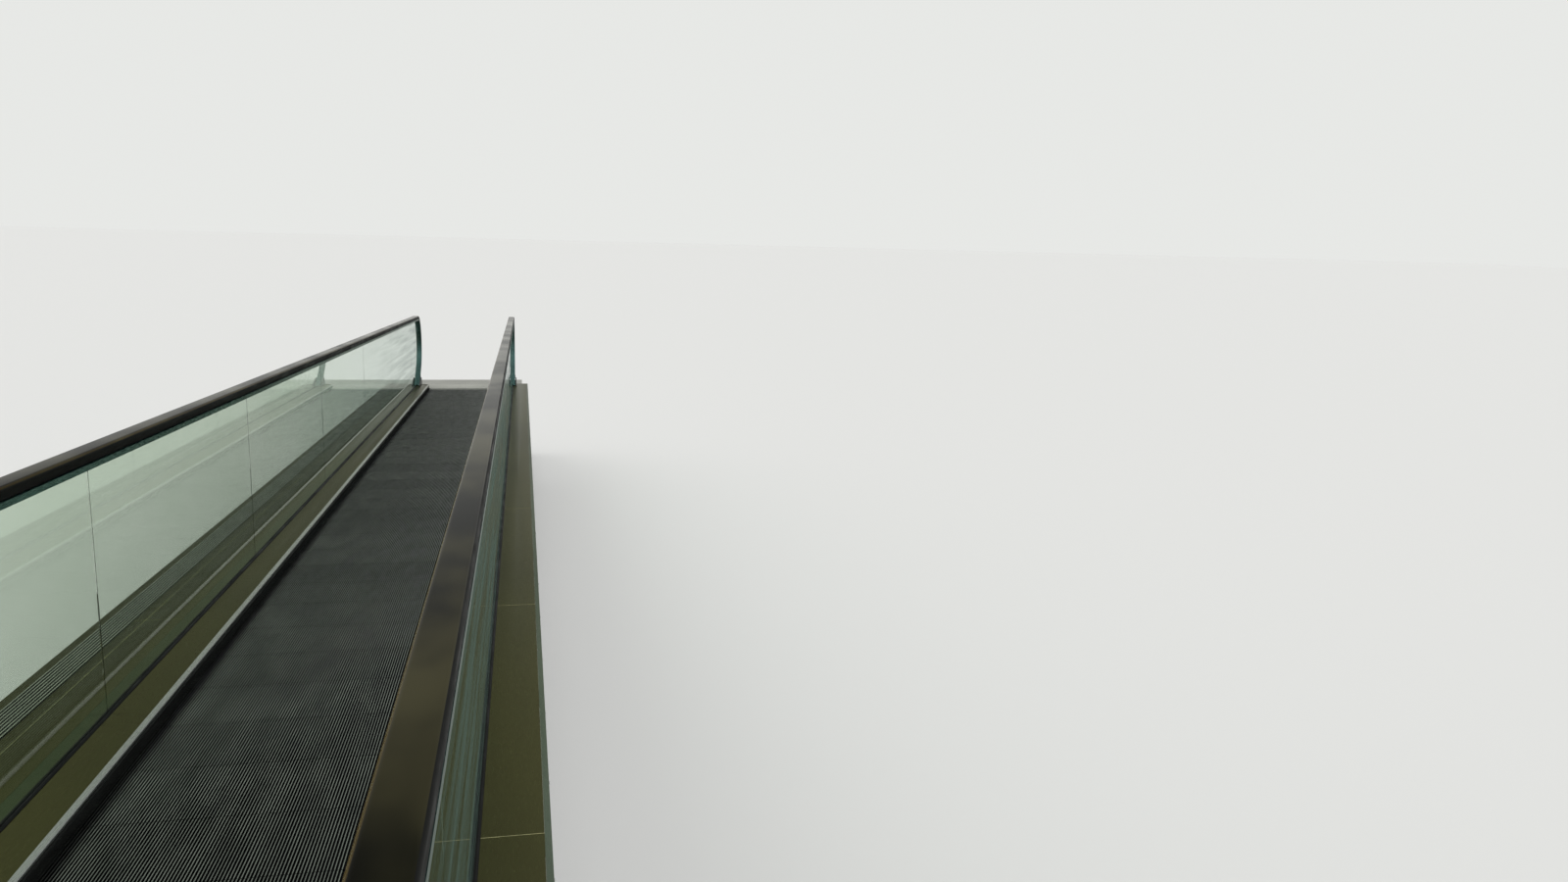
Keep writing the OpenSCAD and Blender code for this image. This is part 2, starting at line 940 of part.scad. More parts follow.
function rail_outline(slim) =
    let (
        r = 14 - slim, half = rail_w / 2 - slim, crown = rail_d - slim, lip = 5 - slim,
        mouth = guide_w / 2 + 3 + slim, inside = rail_w / 2 - rail_t + slim,
        roof = rail_d - rail_t + slim
    )
    concat(
        arc([crown - r, half - r], r, 0, 90, 6),
        [[3, half], [slim, half - 3], [slim, mouth], [lip, mouth], [lip, inside],
            [roof, inside], [roof, -inside], [lip, -inside],
            [lip, -mouth], [slim, -mouth], [slim, -half + 3], [3, -half]],
        arc([crown - r, -half + r], r, -90, 0, 6));

// Turns an outline to face up, with its crown at the given height
function facing_up(outline, crown) = [for (p = outline) [p[1], crown - rail_d + p[0]]];

function facing_down(outline, crown) = [for (p = outline) [p[1], crown + rail_d - p[0]]];

// Sweeps an outline round a bend of the loop, and a little into the runs at both ends
module bend(centre, r, from, to, outline) {
    more = lap / r * 180 / PI;
    translate([0, centre[0], centre[1]])
        rotate([90, 0, 90])
            rotate(from - more)
                rotate_extrude(angle = to - from + 2 * more, $fn = 96)
                    polygon([for (p = outline) [r - rail_d + p[0], p[1]]]);
}

// The straight run from the newel down to the inlet
module incline(outline, length) {
    translate([0, exit_s, exit_h])
        rotate([inlet_angle, 0, 0])
            along(-length, 0)
                polygon(facing_down(outline, 0));
}

module newel_bend(outline) {
    bend([newel_s, newel_h], newel_r, -exit_angle, 90, outline);
}

module handrail_guide() {
    translate([glass_x, 0, 0]) {
        along(-newel_s, newel_s)
            polygon(facing_up(guide_outline(0), rail_h));
        both_ends() {
            newel_bend(guide_outline(hair));
            incline(guide_outline(0), guide_len);
        }
    }
}

module handrail_guide_left() {
    color("#5f8a86")
        ramp()
            left()
                handrail_guide();
}

module handrail_guide_right() {
    color("#5f8a86")
        ramp()
            handrail_guide();
}

module handrail() {
    translate([glass_x, 0, 0]) {
        along(-newel_s, newel_s)
            polygon(facing_up(rail_outline(0), rail_h));
        both_ends() {
            newel_bend(rail_outline(hair));
            incline(rail_outline(0), incline_len);
            bend([bend_s, bend_h], return_bend_r, -90, -exit_angle, rail_outline(hair));
        }
        along(-bend_s, bend_s)
            polygon(facing_down(rail_outline(0), -return_depth));
    }
}

module handrail_left() {
    color("#1b1c1e")
        ramp()
            left()
                handrail();
}

module handrail_right() {
    color("#1b1c1e")
        ramp()
            handrail();
}

// Shroud where the handrail goes down through the decks
module inlet() {
    clear = 6;
    cheek = 14;
    shroud_h = 95;
    front_lip = 20;
    tail_lip = 8;
    half = rail_w / 2 + clear;
    base = deck_h + seat;
    front = inlet_s + shroud_front - 1;
    tail = clamp_end + 2;
    under = clear / cos(inlet_angle);
    drop = 250;
    difference() {
        across(glass_x - half - cheek, glass_x + half + cheek)
            polygon([[tail, base], [front, base], [front, base + front_lip],
                [front - 50, base + shroud_h], [front - 120, base + shroud_h],
                [tail, base + tail_lip]]);
        across(glass_x - half, glass_x + half)
            polygon([[exit_s, exit_h - under],
                [inlet_s - drop / tan(inlet_angle), deck_h - under - drop],
                [clamp_end - 10, -10], [clamp_end - 10, exit_h + 100], [exit_s, exit_h + 100]]);
    }
}

module handrail_inlets() {
    color("#1b1c1e")
        ramp()
            both_sides()
                both_ends()
                    inlet();
}

// Landings

module comb_tooth(x) {
    tip = -groove_depth + 3;
    across(x - tooth_w / 2, x + tooth_w / 2)
        polygon([[comb_s, tip], [comb_s, tip - 1], [comb_root + 5, tip - 1],
            [comb_root + 5, landing_h - 1], [comb_root, landing_h - 1]]);
}

module comb_plate() {
    count = floor((pallet_w - cleat_w) / cleat_pitch);
    narrow = skirt_x - 1;
    low = landing_h - landing_t;
    for (i = [0:count - 1])
        comb_tooth((i - (count - 1) / 2) * cleat_pitch);
    block(-narrow, narrow, comb_root, carrier_s + 1, low, landing_h);
    block(-chord_out, chord_out, carrier_s, carrier_end, low, landing_h);
}

module comb_upper() {
    color("silver")
        ramp()
            mirror([0, 1, 0])
                comb_plate();
}

module comb_lower() {
    color("silver")
        ramp()
            comb_plate();
}

module landing_frame() {
    low = -truss_top;
    high = landing_h - landing_t - seat;
    both_sides()
        block(chord_in, chord_out, carrier_s, truss_end, low, high);
    for (s = [carrier_end - 30, truss_end - 60])
        block(-chord_in - 1, chord_in + 1, s, s + 60, low, high);
}

module landing_frame_upper() {
    color("slategray")
        ramp()
            mirror([0, 1, 0])
                landing_frame();
}

module landing_frame_lower() {
    color("slategray")
        ramp()
            landing_frame();
}

module landing_covers() {
    length = (truss_end - carrier_end) / cover_plates;
    color("silver")
        ramp()
            both_ends()
                for (i = [0:cover_plates - 1])
                    block(-chord_out, chord_out, carrier_end + i * length + 1,
                        carrier_end + (i + 1) * length, landing_h - landing_t, landing_h);
}

// Sheets that close the sides and ends of the two stations
module station_panels() {
    top = -truss_top - chord - 5;
    end_low = -truss_depth + 10 + post + seat;
    color("#8d8f8c")
        ramp()
            both_ends() {
                both_sides()
                    block(chord_out + seat, chord_out + seat + 2, glass_end + post / 2,
                        truss_end, -truss_depth, top);
                block(-chord_in + seat, chord_in - seat, truss_end - 12, truss_end - 10,
                    end_low, -truss_top - seat);
            }
}

// Machinery, drawn down the slope; the drive is mirrored into the upper station

// A beam that stands on both bottom chords, clear of the drip tray
module machine_beam(s) {
    beam_w = 80;
    along(s - beam_w / 2, s + beam_w / 2)
        polygon([[-chord_out + 2, beam_foot], [-chord_in - 2, beam_foot],
            [-chord_in - 2, beam_low], [chord_in + 2, beam_low], [chord_in + 2, beam_foot],
            [chord_out - 2, beam_foot], [chord_out - 2, beam_top], [-chord_out + 2, beam_top]]);
}

// Motor with cooling fins, feet, a terminal box and a brake drum
module motor(s, h) {
    fins = 14;
    fin_t = 6;
    fin_pitch = (motor_len - 100) / fins;
    start = gearbox_in - motor_len;
    first = start + 40;
    foot_w = 50;
    translate([0, s, h]) {
        across(start, gearbox_in + 1)
            circle(r = motor_r - 14);
        for (i = [0:fins - 1])
            across(first + i * fin_pitch, first + i * fin_pitch + fin_t)
                circle(r = motor_r);
        across(start - 90, start + 1)
            circle(r = motor_r * 0.5);
        across(start - 70, start - 30)
            circle(r = motor_r * 0.8);
        block(start + 140, start + 280, -60, 60, motor_r - 30, motor_r + 40);
    }
    for (x = [start + 70, gearbox_in - 110])
        block(x, x + foot_w, s - motor_r, s + motor_r, bed_top - 1, h - motor_r * 0.7);
}

module gearbox(s, h) {
    step = 30;
    flange_h = bed_top + 24;
    roof = h + gearbox_tall;
    shaft = 30;
    across(gearbox_in, gearbox_out)
        polygon([[s - gearbox_wide, bed_top - 1], [s + gearbox_wide, bed_top - 1],
            [s + gearbox_wide, flange_h], [s + gearbox_wide - step, flange_h],
            [s + gearbox_wide - step, roof - 50], [s + gearbox_wide - 80, roof],
            [s - gearbox_wide + 80, roof], [s - gearbox_wide + step, roof - 50],
            [s - gearbox_wide + step, flange_h], [s - gearbox_wide, flange_h]]);
    translate([0, s, h]) {
        across(gearbox_out - 1, gearbox_out + 20)
            circle(r = 70);
        across(gearbox_out, wheel_x + wheel_t + 8)
            circle(r = shaft);
        across(wheel_x, wheel_x + wheel_t)
            chain_wheel(pinion_r, pinion_teeth);
    }
}

// Motor, gearbox and drive chain in the upper station
module drive_unit() {
    color("steelblue")
        ramp()
            mirror([0, 1, 0]) {
                for (s = [gear_s - bed_front + beam_inset, gear_s + bed_back - beam_inset])
                    machine_beam(s);
                block(gearbox_in - motor_len - 60, gearbox_out + 40,
                    gear_s - bed_front, gear_s + bed_back, beam_top - 1, bed_top);
                gearbox(gear_s, gear_h);
                motor(gear_s + 40, gear_h + 10);
                translate([0, sprocket_s, sprocket_h])
                    across(wheel_x + 2, wheel_x + wheel_t - 2)
                        difference() {
                            polygon(chain_outline(chain_half));
                            polygon(chain_outline(6 - chain_half));
                        }
            }
}

// Slide rails, rod and disc springs that pull one bearing of the lower shaft
module tension_slide() {
    rod_x = (bearing_in + chord_in) / 2;
    rod_r = 12;
    nut_r = 22;
    end = sprocket_s + slide_len;
    half = bearing / 2 + seat;
    slide_t = 20;
    disc_t = 11;
    disc_pitch = 14;
    disc_r = 34;
    last_disc = end - disc_t - 19;
    translate([0, 0, sprocket_h]) {
        for (h = [-half - slide_t, half])
            block(chord_in - 35, chord_in - seat, sprocket_s - chord + 1, end, h, h + slide_t);
        block(bearing_in + 10, chord_in - seat, end - slide_t, end, -half - slide_t, half + slide_t);
        along(sprocket_s + half, end + 60)
            translate([rod_x, 0])
                circle(r = rod_r);
        along(end - 1, end + 24)
            translate([rod_x, 0])
                circle(r = nut_r, $fn = 6);
        for (i = [0:spring_discs - 1])
            along(last_disc - i * disc_pitch, last_disc - i * disc_pitch + disc_t)
                translate([rod_x, 0])
                    circle(r = i % 2 == 0 ? disc_r : disc_r - 6);
    }
}

module tension_units() {
    color("silver")
        ramp()
            both_sides()
                tension_slide();
}

// Plates with pairs of rollers that grip the handrail's return run
module handrail_drive() {
    pitch = 120;
    start = -glass_end + 300;
    end = start + drive_pairs * pitch;
    grip_r = 45;
    grip_axle_r = 12;
    idler_r = 36;
    idler_axle_r = 5;
    plate_t = 8;
    half = rail_w / 2;
    inner = glass_x - half - 6 - plate_t;
    outer = chord_in - seat - plate_t;
    grip_h = -return_depth - seat - grip_r;
    idler_h = -return_depth + rail_t + seat + idler_r;
    plate_low = grip_h - grip_r - 5;
    mouth = guide_w / 2 - 1;
    block(outer, outer + plate_t, start, end, plate_low, -truss_top - 5);
    block(inner, inner + plate_t, start, end, plate_low, idler_h + 25);
    for (i = [0:drive_pairs - 1])
        translate([0, start + (i + 0.5) * pitch, 0]) {
            translate([0, 0, grip_h]) {
                across(glass_x - half + 5, glass_x + half - 5)
                    circle(r = grip_r);
                across(inner - 12, outer + 1)
                    circle(r = grip_axle_r);
            }
            translate([0, 0, idler_h]) {
                across(glass_x - mouth, glass_x + mouth)
                    circle(r = idler_r);
                across(inner - 6, outer + 1)
                    circle(r = idler_axle_r);
            }
        }
}

module handrail_drives() {
    color("silver")
        ramp()
            both_sides()
                handrail_drive();
}

// Trestles, drawn plumb

// Height of the truss's underside over the floor
function under_truss(y) =
    ramp_z - (y - ramp_y) * lean - (truss_depth + seat) / cos(slope);

module upright(x, y, width, low) {
    translate([ramp_x, 0, 0])
        across(x - width / 2, x + width / 2)
            polygon([[y - leg / 2, low], [y + leg / 2, low],
                [y + leg / 2, under_truss(y + leg / 2)],
                [y - leg / 2, under_truss(y - leg / 2)]]);
}

module sole_plate(x, y) {
    translate([ramp_x + x, y, 0])
        difference() {
            translate([-sole / 2, -sole / 2, 0])
                cube([sole, sole, sole_t]);
            for (i = [-1, 1], j = [-1, 1])
                translate([i * anchor_pitch / 2, j * anchor_pitch / 2, -1])
                    cylinder(r = anchor_r, h = sole_t + 2);
        }
}

module trestle(s) {
    y = ramp_y + s * cos(slope) - truss_depth * sin(slope);
    height = under_truss(y + leg / 2);
    for (x = [-chord_mid, chord_mid]) {
        sole_plate(x, y);
        upright(x, y, leg, sole_t - 1);
    }
    upright(0, y, 2 * chord_mid, height - 90);
}

module trestles() {
    color("slategray")
        for (s = trestle_stations)
            trestle(s);
}

truss_left();
truss_right();
cross_members();
drip_tray();
side_brackets_left();
side_brackets_right();
upper_tracks();
return_tracks();
cleated_tread();
pallet_band();
pallet_chains();
drive_sprockets();
tension_sprockets();
skirts();
skirt_brushes();
edge_strips();
inner_deck_left();
inner_deck_right();
glass_clamp_left();
glass_clamp_right();
glass_gaskets();
glass_trim_left();
glass_left();
glass_right();
handrail_guide_left();
handrail_guide_right();
handrail_left();
handrail_right();
handrail_inlets();
outer_deck_left();
outer_deck_right();
ribbed_strip();
fascia_left();
fascia_right();
deck_end_caps();
comb_upper();
comb_lower();
landing_frame_upper();
landing_frame_lower();
landing_covers();
station_panels();
drive_unit();
tension_units();
handrail_drives();
trestles();
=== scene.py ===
"""Looks of an inclined moving walkway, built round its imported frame. Metres."""

import json
import math
import random

import bmesh
import bpy
from mathutils import Matrix, Vector

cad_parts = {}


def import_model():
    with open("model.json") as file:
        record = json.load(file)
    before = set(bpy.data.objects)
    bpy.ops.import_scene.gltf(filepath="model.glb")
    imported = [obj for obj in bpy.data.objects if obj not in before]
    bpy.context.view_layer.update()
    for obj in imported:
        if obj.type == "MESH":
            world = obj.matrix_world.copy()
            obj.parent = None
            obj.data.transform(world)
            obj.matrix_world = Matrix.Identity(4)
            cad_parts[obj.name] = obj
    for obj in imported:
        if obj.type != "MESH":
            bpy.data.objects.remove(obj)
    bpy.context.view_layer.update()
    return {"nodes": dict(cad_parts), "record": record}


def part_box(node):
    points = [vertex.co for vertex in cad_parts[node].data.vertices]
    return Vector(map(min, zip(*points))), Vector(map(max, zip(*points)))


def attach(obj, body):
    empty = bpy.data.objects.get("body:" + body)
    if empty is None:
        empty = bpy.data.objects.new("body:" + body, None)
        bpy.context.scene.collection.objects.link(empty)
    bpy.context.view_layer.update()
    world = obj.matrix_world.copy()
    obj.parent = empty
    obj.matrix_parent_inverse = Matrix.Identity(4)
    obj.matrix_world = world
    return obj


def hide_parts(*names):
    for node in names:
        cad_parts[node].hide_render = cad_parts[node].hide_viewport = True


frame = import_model()
nodes = frame["nodes"]

# Driving dimensions, the same as the walkway's own
SLOPE = math.atan(1 / 20)
BAY = 2.4
BAYS = 6
SKIRT_TOP = 0.031
SKIRT_DROP = 0.045
SKIRT_X = 0.504
DECK_H = 0.058
GLASS_X = 0.66
GLASS_T = 0.012
RAIL_H = 1.027
RAIL_W = 0.08
RAIL_D = 0.04
RAIL_T = 0.011
GLASS_TRIM = 0.048
OUTER_X = 0.6783
OUTER_LEFT = 0.252
OUTER_RIGHT = 0.178
SEAT = 0.0003
RIBBED_X = OUTER_X + OUTER_LEFT + SEAT
RIBBED_W = 0.112
RIBS = 8
TRIM_LEFT = 0.039
TRIM_RIGHT = 0.02
LEFT_X = RIBBED_X + RIBBED_W + SEAT + TRIM_LEFT
RIGHT_X = OUTER_X + OUTER_RIGHT + SEAT + TRIM_RIGHT
NEWEL_R = 0.42
INLET_ANGLE = math.radians(35)
RETURN_DEPTH = 0.24
RETURN_BEND_R = 0.5
COMB_S = 7.9
COMB_LEN = 0.11
NEWEL_S = COMB_S + 0.2
CARRIER_END = COMB_S + COMB_LEN + 0.64
TRUSS_END = CARRIER_END + 0.75
COVER = (TRUSS_END - CARRIER_END) / 2
LANDING_H = 0.006
TRUSS_TOP = -0.06
TRUSS_DEPTH = 0.98
CHORD = 0.08
CHORD_IN = 0.715
CHORD_OUT = CHORD_IN + CHORD
PALLET = 0.4
PALLET_GAP = 0.004
CLEAT_PITCH = 0.01
GROOVE = 0.01
AXLE_DEPTH = 0.075
LINKS_PER_PALLET = 3
PITCH = PALLET / LINKS_PER_PALLET
TURN_LINKS = 6
RUN_LINKS = 123

# The walkway's own frame: across, down the slope, and up from the band
skirt_low, skirt_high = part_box("skirts")
skirt_mid = (SKIRT_TOP - SKIRT_DROP) / 2
ORIGIN = Vector((
    (skirt_low.x + skirt_high.x) / 2,
    (skirt_low.y + skirt_high.y) / 2 - skirt_mid * math.sin(SLOPE),
    (skirt_low.z + skirt_high.z) / 2 - skirt_mid * math.cos(SLOPE),
))
RAMP = Matrix.Translation(ORIGIN) @ Matrix.Rotation(-SLOPE, 4, "X")
SKIRT_H = SKIRT_TOP + SKIRT_DROP
DECK_END = (skirt_high.y - skirt_low.y - SKIRT_H * math.sin(SLOPE)) / 2 / math.cos(SLOPE)

EXIT_ANGLE = math.pi / 2 - INLET_ANGLE
NEWEL_H = RAIL_H - NEWEL_R
EXIT_S = NEWEL_S + NEWEL_R * math.cos(EXIT_ANGLE)
EXIT_H = NEWEL_H - NEWEL_R * math.sin(EXIT_ANGLE)
LEVEL_S = EXIT_S - (EXIT_H + RETURN_DEPTH) / math.tan(INLET_ANGLE)
BEND_S = LEVEL_S - RETURN_BEND_R * math.tan(INLET_ANGLE / 2)
BEND_H = RETURN_BEND_R - RETURN_DEPTH

LINK_ANGLE = math.pi / TURN_LINKS
SPROCKET_R = PITCH / 2 / math.sin(LINK_ANGLE / 2)
SPROCKET_S = RUN_LINKS * PITCH / 2
SPROCKET_H = -AXLE_DEPTH - SPROCKET_R
LOOP_LINKS = 2 * (RUN_LINKS + TURN_LINKS)
CHAIN_X = 0.5383

random.seed(7)


# Shader helpers

def new_material(name):
    material = bpy.data.materials.new(name)
    material.use_nodes = True
    tree = material.node_tree
    return material, tree, tree.nodes["Principled BSDF"]


def add(tree, kind, **settings):
    node = tree.nodes.new(kind)
    for key, value in settings.items():
        setattr(node, key, value)
    return node


def ramp_coordinates(tree, scale=(1, 1, 1)):
    """Coordinates across, down the slope and up, in metres times scale."""
    where = add(tree, "ShaderNodeTexCoord")
    turn = add(tree, "ShaderNodeMapping")
    turn.inputs["Rotation"].default_value = (SLOPE, 0, 0)
    turn.inputs["Location"].default_value = -(Matrix.Rotation(SLOPE, 3, "X") @ ORIGIN)
    tree.links.new(where.outputs["Object"], turn.inputs["Vector"])
    stretch = add(tree, "ShaderNodeMapping")
    stretch.inputs["Scale"].default_value = scale
    tree.links.new(turn.outputs["Vector"], stretch.inputs["Vector"])
    return stretch.outputs["Vector"]


def noise(tree, scale, stretch=(1, 1, 1), detail=4.0):
    node = add(tree, "ShaderNodeTexNoise")
    node.inputs["Scale"].default_value = scale
    node.inputs["Detail"].default_value = detail
    node.inputs["Roughness"].default_value = 0.55
    tree.links.new(ramp_coordinates(tree, stretch), node.inputs["Vector"])
    return node.outputs["Fac"]


def across(tree):
    """Place across the walkway, in metres."""
    apart = add(tree, "ShaderNodeSeparateXYZ")
    tree.links.new(ramp_coordinates(tree), apart.inputs["Vector"])
    return apart.outputs["X"]


def attribute(tree, name):
    return add(tree, "ShaderNodeAttribute", attribute_name=name).outputs["Fac"]


def calculate(tree, operation, first, second=None):
    """A sum on one socket, or on it and a number or another socket."""
    node = add(tree, "ShaderNodeMath", operation=operation)
    tree.links.new(first, node.inputs[0])
    if isinstance(second, (int, float)):
        node.inputs[1].default_value = second
    elif second is not None:
        tree.links.new(second, node.inputs[1])
    return node.outputs["Value"]


def spread(tree, value, low, high, start=0.3, end=0.7):
    """Maps a value from start to end onto low to high."""
    node = add(tree, "ShaderNodeMapRange", interpolation_type="SMOOTHSTEP")
    for name, number in (("From Min", start), ("From Max", end), ("To Min", low), ("To Max", high)):
        node.inputs[name].default_value = number
    tree.links.new(value, node.inputs["Value"])
    return node.outputs["Result"]


def blend_colours(tree, factor, first, second):
    node = add(tree, "ShaderNodeMix", data_type="RGBA")
    for socket, colour in ((node.inputs[6], first), (node.inputs[7], second)):
        if isinstance(colour, tuple):
            socket.default_value = (*colour, 1)
        else:
            tree.links.new(colour, socket)
    tree.links.new(factor, node.inputs[0])
    return node.outputs[2]


def bump(tree, shader, height, distance, strength=1.0):
    node = add(tree, "ShaderNodeBump")
    node.inputs["Strength"].default_value = strength
    node.inputs["Distance"].default_value = distance
    tree.links.new(height, node.inputs["Height"])
    tree.links.new(node.outputs["Normal"], shader.inputs["Normal"])


def plain_shader(tree, kind, colour):
    node = add(tree, kind)
    node.inputs["Color"].default_value = (*colour, 1)
    return node.outputs[0]


def mix_shaders(tree, factor, first, second):
    node = add(tree, "ShaderNodeMixShader")
    for socket, source in zip(node.inputs, (factor, first, second)):
        tree.links.new(source, socket)
    return node.outputs["Shader"]


def brushed(name, light, dark, roughness, along=(1, 0.02, 1), grain=900, edge=0.7):
    """Metal sheet with fine lines and broad soft patches; edge tones its gloss at a flat look."""
    material, tree, shader = new_material(name)
    shader.inputs["Metallic"].default_value = 0.8
    shader.inputs["Anisotropic"].default_value = 0.4
    shader.inputs["Specular IOR Level"].default_value = 0.3
    shader.inputs["Specular Tint"].default_value = (edge, edge, edge * 0.9, 1)
    lines = noise(tree, grain, along, 3.0)
    patches = noise(tree, 1.6, (1, 0.35, 1), 2.0)
    colour = blend_colours(tree, spread(tree, patches, 0, 1, 0.2, 0.8), dark, light)
    streaked = blend_colours(tree, spread(tree, lines, 0, 0.35), colour, dark)
    tree.links.new(streaked, shader.inputs["Base Color"])
    tree.links.new(spread(tree, lines, roughness * 0.9, roughness * 1.15), shader.inputs["Roughness"])
    bump(tree, shader, lines, 0.00006)
    return material


def painted(name, light, dark, roughness=0.45, gloss=0.5):
    """Sprayed steel: faint orange peel, with dust that lies unevenly."""
    material, tree, shader = new_material(name)
    shader.inputs["Specular IOR Level"].default_value = gloss
    dust = noise(tree, 3.5, (1, 1, 1), 6.0)
    peel = noise(tree, 260, (1, 1, 1), 2.0)
    tree.links.new(blend_colours(tree, spread(tree, dust, 0, 1), dark, light), shader.inputs["Base Color"])
    tree.links.new(spread(tree, dust, roughness * 0.85, roughness * 1.3), shader.inputs["Roughness"])
    bump(tree, shader, peel, 0.0003, 0.35)
    return material


def galvanised(name, light, dark):
    """Zinc-coated sheet with its flaky pattern."""
    material, tree, shader = new_material(name)
    shader.inputs["Metallic"].default_value = 0.85
    flakes = add(tree, "ShaderNodeTexVoronoi")
    flakes.inputs["Scale"].default_value = 55
    tree.links.new(ramp_coordinates(tree), flakes.inputs["Vector"])
    tone = add(tree, "ShaderNodeRGBToBW")
    tree.links.new(flakes.outputs["Color"], tone.inputs["Color"])
    value = tone.outputs["Val"]
    tree.links.new(blend_colours(tree, spread(tree, value, 0, 1, 0.1, 0.9), dark, light),
                   shader.inputs["Base Color"])
    tree.links.new(spread(tree, value, 0.32, 0.5, 0.1, 0.9), shader.inputs["Roughness"])
    return material


def ribbed_aluminium(name):
    """Each rib has a bright line on its crown, and the metal between the ribs is near black."""
    material, tree, shader = new_material(name)
    shader.inputs["Metallic"].default_value = 0.6
    shader.inputs["Specular IOR Level"].default_value = 0.2
    from_edge = calculate(tree, "ADD", across(tree), RIBBED_X)
    ribs = calculate(tree, "DIVIDE", from_edge, RIBBED_W / RIBS)
    crown = spread(tree, calculate(tree, "PINGPONG", ribs, 0.5), 0, 1, 0.34, 0.42)
    marks = noise(tree, 3, (1, 0.2, 1), 3.0)
    bright = blend_colours(tree, spread(tree, marks, 0, 1), (0.34, 0.36, 0.28), (0.52, 0.54, 0.44))
    tree.links.new(blend_colours(tree, crown, (0.012, 0.014, 0.007), bright), shader.inputs["Base Color"])
    tree.links.new(spread(tree, marks, 0.3, 0.45), shader.inputs["Roughness"])
    return material


def rubber(name, colour, roughness, gloss=0.12):
    """Rubber or plastic with long soft marks and a fine grain."""
    material, tree, shader = new_material(name)
    shader.inputs["Specular IOR Level"].default_value = gloss
    marks = noise(tree, 30, (1, 0.15, 1), 5.0)
    fine = noise(tree, 1200, (1, 1, 1), 2.0)
    lighter = tuple(c * 1.7 + 0.004 for c in colour)
    tree.links.new(blend_colours(tree, spread(tree, marks, 0, 1), colour, lighter),
                   shader.inputs["Base Color"])
    tree.links.new(spread(tree, marks, roughness * 0.8, roughness * 1.3), shader.inputs["Roughness"])
    bump(tree, shader, fine, 0.00004, 0.5)
    return material


def cleat_aluminium(name):
    """Dark cast aluminium: crests are worn bright where people walk. The grooves and low flanks get painted
    shade in near black, and the band's outer edges get a painted shadow of the skirts.
    """
    material, tree, shader = new_material(name)
    shader.inputs["Metallic"].default_value = 0.55
    shader.inputs["Specular IOR Level"].default_value = 0.15
    shader.inputs["Specular Tint"].default_value = (0.55, 0.55, 0.58, 1)
    crest = spread(tree, attribute(tree, "crest"), 0, 1, 0.3, 1.0)
    scuffs = noise(tree, 14, (1, 0.25, 1), 4.0)
    worn = blend_colours(tree, spread(tree, scuffs, 0, 1), (0.130, 0.141, 0.123), (0.240, 0.255, 0.226))
    toned = blend_colours(tree, attribute(tree, "shade"), worn, (0.076, 0.083, 0.072))
    # Painted shadow of the skirts and brushes: the outermost cleats go towards near black.
    edge = spread(tree, calculate(tree, "ABSOLUTE", across(tree)), 0, 1, 0.425, 0.468)
    toned = blend_colours(tree, edge, toned, (0.022, 0.023, 0.021))
    # Painted shade: grooves and low flanks go towards near black by how far up a cleat each point is.
    tree.links.new(blend_colours(tree, crest, (0.0025, 0.0026, 0.0026), toned), shader.inputs["Base Color"])
    tree.links.new(spread(tree, scuffs, 0.34, 0.52), shader.inputs["Roughness"])
    return material


def rail_material(name):
    """Brown-black rubber of low gloss, with painted reflections as long soft brown patches along it, and a
    painted highlight in brown along the crown's edge towards the band.
    """
    material, tree, shader = new_material(name)
    shader.inputs["Specular IOR Level"].default_value = 0.007
    marks = noise(tree, 3.1, (1, 0.5, 1), 3.0)
    fine = noise(tree, 1500, (1, 1, 1), 2.0)
    # Painted reflections: long soft brown patches along the rail, on rubber that keeps almost no gloss of
    # its own.
    body = blend_colours(tree, spread(tree, marks, 0, 1), (0.044, 0.040, 0.018), (0.0030, 0.0032, 0.0016))
    # Painted highlight: brown along the crown's edge towards the band.
    edge_highlight = blend_colours(tree, attribute(tree, "edge_highlight"), body, (0.075, 0.052, 0.016))
    tree.links.new(edge_highlight, shader.inputs["Base Color"])
    tree.links.new(spread(tree, marks, 0.12, 0.2), shader.inputs["Roughness"])
    bump(tree, shader, fine, 0.00003, 0.4)
    return material


def glass_material(name):
    """Clear toughened glass that lets lamplight through. A flat look along it is greener, and shows a
    dark green film in streaks."""
    material, tree, shader = new_material(name)
    facing = add(tree, "ShaderNodeLayerWeight").outputs["Facing"]
    smears = noise(tree, 1.4, (1, 0.5, 1), 2.0)
    plain = blend_colours(tree, spread(tree, smears, 0, 1), (0.62, 0.73, 0.61), (0.67, 0.77, 0.66))
    tinted = blend_colours(tree, spread(tree, facing, 0, 1, 0.78, 0.97), plain, (0.30, 0.52, 0.44))
    tree.links.new(tinted, shader.inputs["Base Color"])
    shader.inputs["Roughness"].default_value = 0.0
    shader.inputs["Transmission Weight"].default_value = 1.0
    shader.inputs["Specular IOR Level"].default_value = 0.12
    shader.inputs["IOR"].default_value = 1.5
    streaks = spread(tree, noise(tree, 22, (1, 0.03, 1), 3.0), 0.12, 0.75)
    amount = calculate(tree, "MULTIPLY", streaks, spread(tree, facing, 0, 1, 0.86, 0.97))
    # A dark green diffuse film in streaks, mixed in only at a flat look.
    dust = plain_shader(tree, "ShaderNodeBsdfDiffuse", (0.095, 0.148, 0.128))
    filmed = mix_shaders(tree, amount, shader.outputs["BSDF"], dust)
    clear = plain_shader(tree, "ShaderNodeBsdfTransparent", (0.82, 0.93, 0.88))
    from_lamp = add(tree, "ShaderNodeLightPath").outputs["Is Shadow Ray"]
    surface = mix_shaders(tree, from_lamp, filmed, clear)
    tree.links.new(surface, tree.nodes["Material Output"].inputs["Surface"])
    return material


